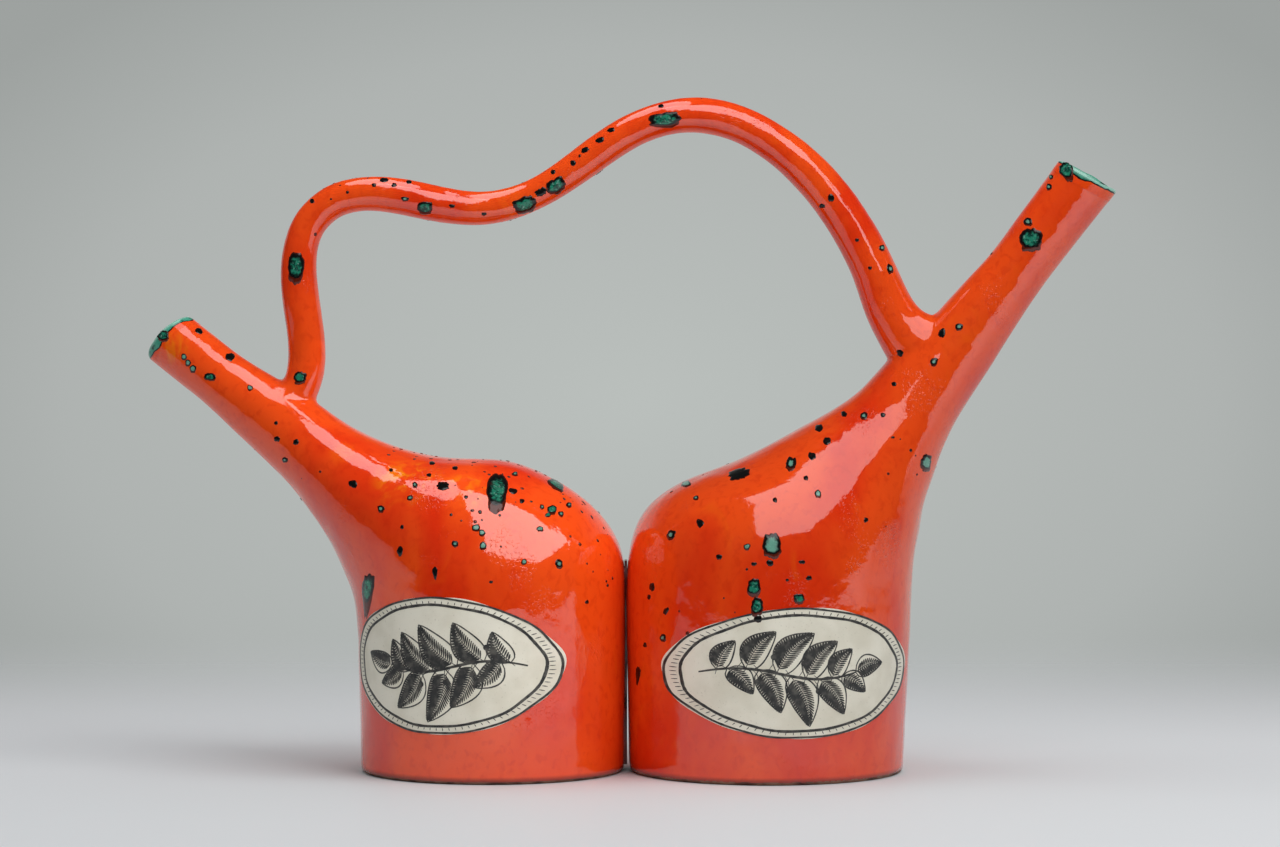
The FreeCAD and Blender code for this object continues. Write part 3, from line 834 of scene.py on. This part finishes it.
# The inlaid panels: a pale oval with a leafy branch drawn on it in grey ink. Sizes are in
# millimetres and turns in degrees, and the inlay is let into the wall by its depth.
PANEL_TURNS = {"left": -22.0, "right": 12.0}
PANEL_HEIGHTS = {"left": 45.9, "right": 43.4}
PANEL_WIDTHS = {"left": 88.0, "right": 98.0}
PANEL_RISES = {"left": 53.2, "right": 50.6}
PANEL_RINGS, PANEL_STEPS = 20, 144
PANEL_PROUD = 0.20
PANEL_DEPTH = 0.4
INK_PROUD = 0.06
INK_DEPTH = 0.1
BERRY_STEPS = 14
HATCH_LINES = 96


class Panel:
    """The oval in one vessel's front, with a flat sketch laid over the wall."""

    def __init__(self, side, skin):
        self.side = side
        facing = math.radians(PANEL_TURNS[side])
        self.out = Vector((math.sin(facing), -math.cos(facing), 0))
        self.across = Vector((0, 0, 1)).cross(self.out)
        low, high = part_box(side + "_base")
        self.centre = Vector(((low.x + high.x) / 2, (low.y + high.y) / 2, PANEL_HEIGHTS[side] * MM))
        self.half_width = PANEL_WIDTHS[side] / 2
        self.half_rise = PANEL_RISES[side] / 2
        self.tree = tree_of([skin])

    def lay(self, along, up, proud):
        """A point of the sketch, in millimetres, laid on the wall."""
        start = self.centre + (self.across * along + Vector((0, 0, up)) + self.out * 120) * MM
        place, facing, _, _ = self.tree.ray_cast(start, -self.out)
        if place is None:
            place, facing, _, _ = self.tree.find_nearest(start - self.out * 70 * MM)
        return place + facing * proud * MM

    def spot(self, share, angle):
        """A point of the sketch at a share of the oval's size, in a direction."""
        return self.half_width * share * math.cos(angle), self.half_rise * share * math.sin(angle)

    def slab(self, bm, grid, ring=False):
        """A thin closed piece of ink over a grid of sketch points, whose rows may be rings."""
        upper, lower = [
            [[bm.verts.new(self.lay(*point, proud)) for point in row] for row in grid]
            for proud in (PANEL_PROUD + INK_PROUD, PANEL_PROUD - INK_DEPTH)
        ]
        last, wide = len(grid) - 1, len(grid[0]) - 1
        pairs = [(j, j + 1) for j in range(wide)]
        if ring:
            pairs.append((wide, 0))
        for i in range(last):
            for j, k in pairs:
                bm.faces.new((upper[i][j], upper[i][k], upper[i + 1][k], upper[i + 1][j]))
                bm.faces.new((lower[i][j], lower[i + 1][j], lower[i + 1][k], lower[i][k]))
            for j in () if ring else (0, wide):
                bm.faces.new((upper[i][j], upper[i + 1][j], lower[i + 1][j], lower[i][j]))
        for i in (0, last):
            for j, k in pairs:
                bm.faces.new((upper[i][j], upper[i][k], lower[i][k], lower[i][j]))


def panel_oval(panel):
    """The pale inlay itself, a little uneven at its edge."""
    bm = bmesh.new()
    sketch = []
    for ring in range(1, PANEL_RINGS + 1):
        row = []
        for step in range(PANEL_STEPS):
            angle = math.tau * step / PANEL_STEPS
            uneven = 1 + 0.008 * math.sin(5 * angle + 1) + 0.006 * math.sin(11 * angle)
            row.append(panel.spot(ring / PANEL_RINGS * uneven, angle))
        sketch.append(row)
    levels = [PANEL_PROUD] * (PANEL_RINGS - 1) + [PANEL_PROUD / 2, -PANEL_DEPTH, -PANEL_DEPTH]
    sketch += [sketch[-1], sketch[PANEL_RINGS // 2]]
    rows = []
    for row, level in zip(sketch, levels):
        rows.append([bm.verts.new(panel.lay(*point, level)) for point in row])
    top, bottom = (bm.verts.new(panel.lay(0, 0, level)) for level in (PANEL_PROUD, -PANEL_DEPTH))
    for step in range(PANEL_STEPS):
        following = (step + 1) % PANEL_STEPS
        bm.faces.new((top, rows[0][step], rows[0][following]))
        for row, next_row in zip(rows, rows[1:]):
            bm.faces.new((row[following], row[step], next_row[step], next_row[following]))
        bm.faces.new((bottom, rows[-1][following], rows[-1][step]))
    bmesh.ops.recalc_face_normals(bm, faces=bm.faces)
    return finished(bm, panel.side + "_panel_oval", 60)


def halfway(start, end):
    """The middle of two sketch points."""
    return (start[0] + end[0]) / 2, (start[1] + end[1]) / 2


class Pen:
    """A pen that draws raised ink on a panel."""

    def __init__(self, panel, seed):
        self.panel = panel
        self.bm = bmesh.new()
        self.chance = random.Random(seed)

    def stroke(self, points, width, taper=0.5):
        """A line of ink through points, thinner towards its ends."""
        grid = []
        last = len(points) - 1
        for i, point in enumerate(points):
            before, after = points[max(0, i - 1)], points[min(last, i + 1)]
            dx, dy = after[0] - before[0], after[1] - before[1]
            length = math.hypot(dx, dy) or 1.0
            press = 1 - taper * abs(2 * i / last - 1) ** 2.5
            half = width / 2 * press * self.chance.uniform(0.86, 1.12)
            off_x, off_y = -dy / length * half, dx / length * half
            grid.append([(point[0] - off_x, point[1] - off_y), (point[0] + off_x, point[1] + off_y)])
        self.panel.slab(self.bm, grid)

    def oval(self, share, width):
        """A line all round the oval, as a share of its size."""
        points = []
        for step in range(PANEL_STEPS + 1):
            angle = math.tau * step / PANEL_STEPS
            uneven = share + 0.006 * math.sin(7 * angle + share * 9) + 0.004 * math.sin(13 * angle)
            points.append(self.panel.spot(uneven, angle))
        self.stroke(points, width, taper=0.0)

    def hatch(self):
        """Short strokes all round, between the two lines."""
        for step in range(HATCH_LINES):
            angle = math.tau * step / HATCH_LINES
            start = self.panel.spot(0.905, angle)
            end = self.panel.spot(0.940 + 0.01 * self.chance.random(), angle)
            self.stroke([start, halfway(start, end), end], 0.34)

    def leaf(self, base, heading, length, width, dark):
        """A leaf drawn like a wood engraving: a dark half, and one with pale gaps left open."""
        ahead = (math.cos(heading), math.sin(heading))
        left = (-ahead[1], ahead[0])

        def spot(along, out):
            """A point of the leaf by its share of the length and its reach to the left."""
            bend = 0.10 * length * math.sin(math.pi * along)
            return (base[0] + ahead[0] * along * length + left[0] * (out + bend),
                    base[1] + ahead[1] * along * length + left[1] * (out + bend))

        def half_width(along):
            """Half the leaf's width at a share of its length."""
            return width / 2 * math.sin(math.pi * min(1.0, along) ** 0.75) ** 0.8

        strokes = max(7, round(length * 0.9))
        for sign in (-1, 1):
            edge = [spot(i / 12, sign * half_width(i / 12)) for i in range(13)]
            self.stroke(edge, 0.55, taper=0.3)
            filled = (sign > 0) == dark
            reach, thick = (0.98, 1.05) if filled else (0.60, 0.62)
            for k in range(strokes):
                along = 0.10 + 0.82 * k / (strokes - 1)
                out = half_width(min(0.97, along + 0.10))
                tip = spot(min(0.98, along + 0.12), sign * out * reach)
                root = spot(along, sign * 0.28)
                self.stroke([root, halfway(tip, root), tip], thick * length / strokes, taper=0.45)
        self.stroke([spot(i / 8 * 1.02 - 0.14, 0) for i in range(9)], 0.35)

    def berry(self, centre, radius):
        """A round berry."""
        grid = []
        for size in (radius, radius * 0.02):
            row = []
            for step in range(BERRY_STEPS):
                angle = math.tau * step / BERRY_STEPS
                row.append((centre[0] + size * math.cos(angle), centre[1] + size * math.sin(angle)))
            grid.append(row)
        self.panel.slab(self.bm, grid, ring=True)

    def finish(self, name):
        """The object of all that was laid or drawn."""
        bmesh.ops.recalc_face_normals(self.bm, faces=self.bm.faces)
        return finished(self.bm, name)


# The branch: each row is how far along the stem a leaf sits, how it turns from the stem in
# degrees, and its length and width as shares of the oval's half rise.
LEAF_ROWS = [
    (0.10, 52, 0.5100, 0.312), (0.16, -50, 0.5304, 0.324), (0.27, 56, 0.7140, 0.408),
    (0.35, -54, 0.7344, 0.420), (0.46, 58, 0.8364, 0.456), (0.55, -57, 0.8364, 0.456),
    (0.65, 54, 0.7548, 0.420), (0.74, -52, 0.6936, 0.396), (0.83, 46, 0.5508, 0.336),
    (0.90, -42, 0.4896, 0.300), (1.00, 0, 0.5100, 0.324),
]
# Each row is how far along the stem a berry's stalk starts, and how far out it reaches
BERRY_ROWS = [
    (0.215, 0.198), (0.31, -0.187), (0.405, 0.22), (0.505, -0.22), (0.60, 0.209), (0.70, -0.187),
]
BERRY_RADIUS = 1.15
STALK_ALONG = 2.2


def panel_drawing(panel):
    """A leafy branch with berries inside a double line, drawn in ink."""
    mirror = -1 if panel.side == "left" else 1
    pen = Pen(panel, 3 if panel.side == "left" else 4)
    pen.oval(0.985, 0.75)
    pen.oval(0.885, 1.0)
    pen.hatch()

    def stem(share):
        """A point of the branch at a share of its length."""
        along = -0.76 + 1.22 * share
        return (mirror * along * panel.half_width,
                panel.half_rise * (0.10 * math.sin(share * 5.6 + 0.4) + 0.05 * share - 0.03))

    pen.stroke([stem(i / 30) for i in range(31)], 1.1)
    for share, turn, length, width in LEAF_ROWS:
        base, ahead = stem(share), stem(share + 0.02)
        heading = math.atan2(ahead[1] - base[1], ahead[0] - base[0]) + math.radians(turn) * mirror
        pen.leaf(base, heading, length * panel.half_rise, width * panel.half_rise, turn > 0)
    for share, out in BERRY_ROWS:
        base = stem(share)
        tip = (base[0] + mirror * STALK_ALONG, base[1] + out * panel.half_rise)
        middle = halfway(base, tip)
        pen.stroke([base, (middle[0] + mirror * 0.8, middle[1]), tip], 0.32)
        pen.berry(tip, BERRY_RADIUS)
    return pen.finish(panel.side + "_panel_drawing")


# Colours of the finishes


def colour(red, green, blue):
    """A colour from its screen values of 0 to 255."""
    shares = [value / 255 for value in (red, green, blue)]
    linear = [((c + 0.055) / 1.055) ** 2.4 if c > 0.04 else c / 12.92 for c in shares]
    return (*linear, 1.0)


ORANGE_RED = colour(240, 77, 19)
DEEP_RED = colour(222, 46, 9)
AMBER = colour(240, 108, 10)
BURNT_ORANGE = colour(206, 38, 5)
# Painted shade for the glaze just above the foot
PAINTED_FOOT_SHADE = colour(110, 18, 8)
YELLOW_BREAK = colour(240, 136, 10)
BLACK_GLASS = (0.004, 0.005, 0.005, 1.0)
DARK_GREEN = (0.003, 0.050, 0.034, 1.0)
GREEN_GLASS = (0.016, 0.215, 0.130, 1.0)
# Pale glass, which also serves as painted highlight on the drops and on the lip
PALE_GLASS_AND_HIGHLIGHT = (0.26, 0.52, 0.42, 1.0)
LIP_GREEN = (0.060, 0.310, 0.215, 1.0)
BURNT_RED = (0.100, 0.010, 0.003, 1.0)

# Places where the glaze runs thin and breaks to yellow, then places where it boiled and
# stayed rough: the middle and the size, in millimetres
THIN_PLACES = [
    ((-85.0, -30.0, 118.0), 17.0), ((-62.0, -36.0, 112.0), 12.0), ((-184.0, 12.0, 169.0), 10.0),
]
ROUGH_PLACES = [
    ((103.0, -34.0, 92.0), 12.0), ((89.0, -47.0, 84.0), 5.0), ((109.0, -19.0, 121.0), 10.0),
]


def glaze_colour(glaze):
    """The colour of the red glaze: pools of deeper red, amber where it is thin, and painted shade just
    above the foot.
    """
    pools = glaze.span(glaze.cloud(46, 4.0, (1, 1, 0.55), 0.4), 0.42, 0.66)
    base = glaze.blend(pools, ORANGE_RED, DEEP_RED)
    thin = glaze.span(glaze.cloud(17, 5.0, (1, 1, 0.7), 0.8), 0.60, 0.80)
    base = glaze.blend(glaze.math("MULTIPLY", thin, 0.35), base, AMBER)
    fine = glaze.span(glaze.cloud(3.2, 4.0, (1, 1, 0.8), 0.5), 0.48, 0.72, 0.0, 0.34)
    base = glaze.blend(fine, base, BURNT_ORANGE)
    height = glaze.node("ShaderNodeSeparateXYZ", {0: glaze.where}).outputs["Z"]
    # Painted shade: the glaze is darkened just above the foot, where its curve turns under and mirrors
    # the floor's shadow.
    base = glaze.blend(glaze.span(height, 3.4 * MM, 1.2 * MM, 0.0, 0.75), base, PAINTED_FOOT_SHADE)
    streaks = glaze.span(glaze.cloud(6, 4.0, (1, 1, 0.5), 0.6), 0.46, 0.66)
    for middle, size in THIN_PLACES:
        near = glaze.within(middle, size, 0.2, 0.85)
        base = glaze.blend(glaze.math("MULTIPLY", near, streaks), base, YELLOW_BREAK)
    return base


def red_glaze():
    """Glossy orange-red glaze, thin and amber or pooled and redder, and pitted in places."""
    glaze = Finish("red_glaze", Roughness=0.06, IOR=1.72)
    rough = glaze.math("MULTIPLY", glaze.span(glaze.cloud(26, 2.0), 0.56, 0.68), 0.35)
    for middle, size in ROUGH_PLACES:
        rough = glaze.math("MAXIMUM", rough, glaze.within(middle, size, 0.4))
    pits = glaze.math("MULTIPLY", glaze.span(glaze.cloud(1.0, 1.0), 0.56, 0.66), rough)
    waves = (glaze.cloud(14, 1.0), 0.55), (glaze.cloud(5.0, 2.0), 0.11)
    return glaze.done(glaze_colour(glaze), *waves, (pits, 0.16))


def drop_glass():
    """Drops of green and black glass, paler in the heart, with a dark rim."""
    glass = Finish("drop_glass", Roughness=0.16, IOR=1.45)
    heart, kind = glass.attribute("heart"), glass.attribute("glass")
    mottle = glass.cloud(1.6, 3.0, warp=0.6)
    green = glass.blend(glass.span(mottle, 0.38, 0.56), DARK_GREEN, GREEN_GLASS)
    glints = glass.span(glass.cloud(0.9, 2.0), 0.57, 0.70)
    green = glass.blend(glass.math("MULTIPLY", glints, 0.55), green, PALE_GLASS_AND_HIGHLIGHT)
    # Pale drops get a paler heart: a painted highlight on the front, where the lamps are mirrored, and
    # pale glass on the back.
    green = glass.blend(glass.span(kind, 1.1, 1.7, 0.0, 0.55), green, PALE_GLASS_AND_HIGHLIGHT)
    uneven = glass.math("ADD", heart, glass.math("MULTIPLY", glass.math("SUBTRACT", mottle, 0.5), 0.35))
    thick_rim = glass.span(kind, 1.7, 2.2, 0.27, 0.48)
    inside = glass.span(uneven, thick_rim, glass.math("ADD", thick_rim, 0.26))
    inside = glass.math("MULTIPLY", inside, glass.span(kind, 0.3, 0.9))
    rim = glass.blend(glass.span(heart, 0.0, 0.16), BURNT_RED, BLACK_GLASS)
    return glass.done(glass.blend(inside, rim, green), (glass.cloud(1.8, 2.0), 0.10))


def rim_glass():
    """The mouth ring: red glaze, with green glass over the lip, a painted pale highlight along the lip's
    top, and a dark line where the green ends.
    """
    glass = Finish("rim_glass", Roughness=0.08, IOR=1.5)
    ragged = glass.math("MULTIPLY", glass.cloud(2.6, 2.0), 0.8)
    past = glass.math("SUBTRACT", glass.math("ADD", glass.attribute("past_edge"), ragged), 0.4)
    shade_of_green = glass.blend(glass.span(glass.cloud(4, 2.0), 0.28, 0.50), DARK_GREEN, LIP_GREEN)
    # Painted highlight: the lip's rounded top is painted pale, as if it mirrored the lamps.
    green = glass.blend(glass.span(glass.attribute("lip"), 1.8, 0.6), shade_of_green, PALE_GLASS_AND_HIGHLIGHT)
    dark = glass.blend(glass.span(past, -0.62, -0.25), green, BLACK_GLASS)
    shown = glass.blend(glass.span(past, 0.0, 0.3), dark, glaze_colour(glass))
    return glass.done(shown, (glass.cloud(5, 1.0), 0.06))


def bead_glass():
    """Fine dark beads."""
    glass = Finish("bead_glass", Roughness=0.15, IOR=1.5)
    shades = glass.blend(glass.span(glass.cloud(9, 1.0), 0.42, 0.60), BLACK_GLASS, BURNT_RED)
    return glass.done(shades, (glass.cloud(0.8, 1.0), 0.03))


def panel_slip():
    """The pale, satin inlay with faint clouding and specks."""
    slip = Finish("panel_slip", Roughness=0.42, IOR=1.45)
    clouds = slip.span(slip.cloud(14, 4.0), 0.35, 0.70)
    shown = slip.blend(clouds, colour(238, 233, 216), colour(224, 218, 199))
    specks = slip.span(slip.cloud(0.8, 2.0), 0.66, 0.74, 0.0, 0.35)
    shown = slip.blend(specks, shown, colour(170, 162, 144))
    return slip.done(shown, (slip.cloud(2.5, 3.0), 0.03), (slip.cloud(9, 1.0), 0.08))


def grey_ink():
    """Charcoal ink that is thinner in places."""
    ink = Finish("grey_ink", Roughness=0.45)
    thin = ink.span(ink.cloud(2.4, 4.0), 0.40, 0.72)
    return ink.done(ink.blend(thin, colour(42, 42, 42), colour(88, 86, 80)), (ink.cloud(0.6, 2.0), 0.01))


def bare_clay():
    """The unglazed foot, brown and a little dirty."""
    clay = Finish("bare_clay", Roughness=0.8)
    dirt = clay.span(clay.cloud(5, 5.0), 0.35, 0.70)
    shown = clay.blend(dirt, colour(140, 100, 80), colour(78, 42, 30))
    return clay.done(shown, (clay.cloud(1.2, 4.0), 0.06))


def slip_joint():
    """The dark glaze that pooled in the groove between the vessels."""
    pool = Finish("slip_joint", Roughness=0.25)
    deep = pool.span(pool.cloud(8, 4.0), 0.35, 0.70)
    return pool.done(pool.blend(deep, colour(96, 14, 6), colour(40, 8, 5)), (pool.cloud(3, 3.0), 0.08))


# The stage: the camera, the floor, the world and the lamps


def set_camera():
    """The camera, at the height and angle of the photograph."""
    lens = bpy.data.cameras.new("camera")
    lens.sensor_width = SENSOR_WIDTH
    lens.lens = FOCAL_PIXELS / PICTURE_WIDTH * SENSOR_WIDTH
    lens.clip_end = 20.0
    camera = bpy.data.objects.new("camera", lens)
    camera.location = CAMERA_PLACE
    camera.rotation_euler = (math.pi / 2 - CAMERA_TILT_DOWN, 0, 0)
    bpy.context.scene.collection.objects.link(camera)
    bpy.context.scene.camera = camera


FLOOR_FRONT = -0.62
FLOOR_REACH = 4.0
# The backdrop's greys, from the painted pool of light in the middle of the view to the painted shade at
# its edges
WALL_GREY = colour(186, 191, 188)
MIDDLE_GREY = colour(175, 179, 177)
PAINTED_EDGE_SHADE_GREY = colour(158, 162, 160)
ROOM_DARK = (0.030, 0.029, 0.028, 1.0)
FLOOR_WHITE = (0.78, 0.79, 0.81, 1.0)
# Painted against light: near the vessels the floor is painted less red, to cancel the red light their
# glaze throws on it
FLOOR_NEAR_PAINTED_LESS_RED = (0.755, 0.79, 0.805, 1.0)
# The fill's colour, and its strength from the far left to the far right
FILL_GREY = (0.60, 0.61, 0.62, 1.0)
FILL_LEFT, FILL_RIGHT = 0.54, 1.00
# How bright the floor glows where the glaze mirrors it, at most: a painted reflection
FLOOR_MIRRORED = 0.50


def set_floor():
    """A pale floor that fades into the backdrop's grey with distance."""
    mesh = bpy.data.meshes.new("floor")
    corners = [(-FLOOR_REACH, FLOOR_FRONT, 0), (FLOOR_REACH, FLOOR_FRONT, 0),
               (FLOOR_REACH, FLOOR_REACH, 0), (-FLOOR_REACH, FLOOR_REACH, 0)]
    mesh.from_pydata(corners, [], [(0, 1, 2, 3)])
    floor = add_object("floor", mesh)
    paint = Finish("floor_paint", Roughness=0.6)
    # The floor is painted less red near the vessels, to cancel the red light bounced from the glaze.
    near = paint.span(paint.distance(paint.where, (0.0, -0.05, 0.0)), 0.45, 0.10)
    paint.feed(paint.shader.inputs["Base Color"], paint.blend(near, FLOOR_WHITE, FLOOR_NEAR_PAINTED_LESS_RED))
    parts = paint.node("ShaderNodeSeparateXYZ", {0: paint.where}).outputs
    # Painted reflection: the floor glows to glossy rays alone, and its glow is left out near and behind
    # the vessels and towards the left, as a painted shadow.
    glow = paint.span(parts["X"], -0.50, 0.10, 0.0, FLOOR_MIRRORED)
    glow = paint.math("MULTIPLY", glow, paint.span(parts["Y"], -0.04, -0.30))
    glow = paint.math("MULTIPLY", paint.node("ShaderNodeLightPath").outputs["Is Glossy Ray"], glow)
    paint.feed(paint.shader.inputs["Emission Color"], FLOOR_WHITE)
    paint.feed(paint.shader.inputs["Emission Strength"], glow)
    far = paint.span(parts["Y"], 0.05, 0.75)
    clear = paint.node("ShaderNodeBsdfTransparent").outputs[0]
    mixed = paint.node("ShaderNodeMixShader", {0: far, 1: paint.shader.outputs[0], 2: clear})
    paint.feed(paint.tree.nodes["Material Output"].inputs["Surface"], mixed.outputs[0])
    mesh.materials.append(paint.material)


def set_world():
    """A grey backdrop to look at, with a painted pool of light in the middle of the view and painted
    shade towards its edges, a dark room to mirror, and an even fill to light by.
    """
    world = bpy.data.worlds.new("studio")
    bpy.context.scene.world = world
    world.use_nodes = True
    world.node_tree.nodes.clear()
    studio = Nodes(world.node_tree)
    where = studio.node("ShaderNodeTexCoord").outputs["Generated"]
    parts = studio.node("ShaderNodeSeparateXYZ", {0: where}).outputs
    flatter = studio.node("ShaderNodeVectorMath", {0: where, 1: (0.62, 0.0, 1.0)}, operation="MULTIPLY")
    # Painted light: the backdrop the camera sees is lightest in the middle of the view and greyer towards
    # its edges.
    ramp = studio.node("ShaderNodeValToRGB", {0: studio.distance(flatter.outputs[0], (0.0, 0.0, -0.009))})
    shades = ramp.color_ramp.elements
    shades[0].color = WALL_GREY
    shades[1].position = 0.145
    shades[1].color = PAINTED_EDGE_SHADE_GREY
    shades.new(0.10).color = MIDDLE_GREY
    seen = studio.node("ShaderNodeBackground", {"Color": ramp.outputs[0]})
    behind = studio.span(studio.math("MULTIPLY_ADD", parts["X"], 0.12, parts["Y"]), 0.34, 0.60)
    low = studio.span(parts["Z"], 0.60, 0.15)
    room = studio.blend(studio.math("MULTIPLY", behind, low), ROOM_DARK, WALL_GREY)
    mirrored = studio.node("ShaderNodeBackground", {"Color": room})
    strength = studio.span(parts["X"], -1.0, 1.0, FILL_LEFT, FILL_RIGHT, "LINEAR")
    fill = studio.node("ShaderNodeBackground", {"Color": FILL_GREY, "Strength": strength})
    path = studio.node("ShaderNodeLightPath").outputs
    glossy = studio.math("MAXIMUM", path["Is Glossy Ray"], path["Is Transmission Ray"])
    unseen = studio.node("ShaderNodeMixShader", {0: glossy, 1: fill.outputs[0], 2: mirrored.outputs[0]})
    shown = studio.node("ShaderNodeMixShader", {
        0: path["Is Camera Ray"], 1: unseen.outputs[0], 2: seen.outputs[0]})
    studio.node("ShaderNodeOutputWorld", {"Surface": shown.outputs[0]})


def softbox(name, place, aim, width, height, radiance, shape="RECTANGLE"):
    """A lamp of a given size and brightness that faces a point."""
    light = bpy.data.lights.new(name, "AREA")
    light.shape = shape
    light.size, light.size_y = width, height
    light.energy = radiance * math.pi * width * height
    lamp = bpy.data.objects.new(name, light)
    lamp.location = place
    lamp.rotation_euler = (Vector(place) - Vector(aim)).to_track_quat("Z", "Y").to_euler()
    bpy.context.scene.collection.objects.link(lamp)


# Each row is a lamp: its name, its place and the point it faces in metres, its width, height
# and brightness, and its shape where that isn't a rectangle
LAMPS = [
    ("key", (0.16, -0.52, 0.86), (0.0, 0.0, 0.10), 0.70, 0.66, 3.3),
    ("key_left", (0.52, -0.66, 0.86), (0.52, -0.66, 0.0), 1.10, 1.24, 3.3),
    ("key_right", (0.21, -0.54, 0.86), (0.21, -0.54, 0.0), 0.70, 1.30, 2.1),
    ("top", (-0.20, -0.02, 0.90), (-0.20, -0.02, 0.0), 0.34, 0.66, 2.2, "ELLIPSE"),
    ("key_floor", (0.50, -0.50, 0.90), (0.05, 0.0, 0.0), 0.75, 0.75, 3.0),
    ("low", (0.72, -1.42, 0.80), (0.0, 0.0, 0.15), 0.30, 0.45, 3.0),
    ("side_fill", (-0.30, -1.20, 0.55), (0.06, 0.0, 0.10), 1.0, 0.8, 1.1),
]


def set_lamps():
    """Large softboxes above the front, and a dark card that stands for the room's depth."""
    for lamp in LAMPS:
        softbox(*lamp)
    bpy.data.objects["side_fill"].visible_glossy = False
    mesh = bpy.data.meshes.new("dark_card")
    near, side, top = FLOOR_FRONT - 0.01, 1.6, 0.22
    mesh.from_pydata([(-side, near, 0.0), (side, near, 0.0), (side, near, top), (-side, near, top)],
                     [], [(0, 1, 2, 3)])
    card = add_object("dark_card", mesh)
    mesh.materials.append(Finish("card_black", Roughness=0.9).done((0.03, 0.03, 0.03, 1)))
    card.visible_camera = False


def light_only(lamp_name, pieces):
    """Lets a lamp light some pieces alone."""
    lit = bpy.data.collections.new(lamp_name + "_lit")
    for piece in pieces:
        lit.objects.link(piece)
    bpy.data.objects[lamp_name].light_linking.receiver_collection = lit


def dress(piece, finish, slot, *nodes):
    """Gives a piece its finish if it has none, hangs it on the root body, and hides the clay pieces it
    stands for.
    """
    if not piece.data.materials:
        piece.data.materials.append(finish)
    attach(piece, "root")
    if nodes:
        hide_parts(*nodes)


bpy.context.scene.view_settings.view_transform = "Standard"
set_camera()
set_world()
set_floor()
set_lamps()

glaze, rim_finish, clay = red_glaze(), rim_glass(), bare_clay()
slip_finish, ink, drop_finish = panel_slip(), grey_ink(), drop_glass()

skins = {side: vessel_skin(side) for side in SIDES}
skins["handle"] = handle_skin()
rims = {side: mouth_rim(side) for side in SIDES}
panels, drawings = {}, {}
for side in SIDES:
    dress(skins[side], glaze, "red_glaze", side + "_body", side + "_spout", side + "_handle_foot")
    dress(rims[side], rim_finish, "rim", side + "_mouth_ring")
    dress(foot_ring(side), clay, "foot", side + "_base")
    panel = Panel(side, skins[side])
    panels[side] = panel_oval(panel)
    dress(panels[side], slip_finish, "panel", side + "_panel")
    drawings[side] = panel_drawing(panel)
    dress(drawings[side], ink, "panel")
dress(skins["handle"], glaze, "red_glaze", "handle")

surfaces = tree_of([*skins.values(), *rims.values(), *panels.values(), *drawings.values()])
dress(front_drops(surfaces), drop_finish, "rim")
dress(back_drops(surfaces), drop_finish, "rim")

beads = spatter_tree(bead_glass())
for name, skin in skins.items():
    low, high = Vector(skin.bound_box[0]), Vector(skin.bound_box[6])
    on_wall = Vector(((low.x + high.x) / 2, low.y, WALL_HEIGHT))
    outer_dust(skin, high if name == "handle" else on_wall)
    amount = HANDLE_BEADS if name == "handle" else VESSEL_BEADS
    dress(spatter(skin, beads, name + "_spatter", amount), None, "rim")

dress(groove(), slip_joint(), "slip", "slip_seam")

ends = {"left": [], "right": []}
others = []
for piece in bpy.context.scene.objects:
    if piece.type == "MESH" and not piece.hide_render:
        ends.get(piece.name.split("_")[0], others).append(piece)
floor = bpy.data.objects["floor"]
lit_alone = {
    "key_left": ends["left"],
    "key_right": ends["right"],
    "key": [piece for piece in others if piece is not floor],
    "low": [skins["handle"]],
    "top": ends["left"] + [skins["handle"], floor],
    "side_fill": ends["right"],
    "key_floor": [floor],
}
for lamp_name, pieces in lit_alone.items():
    light_only(lamp_name, pieces)
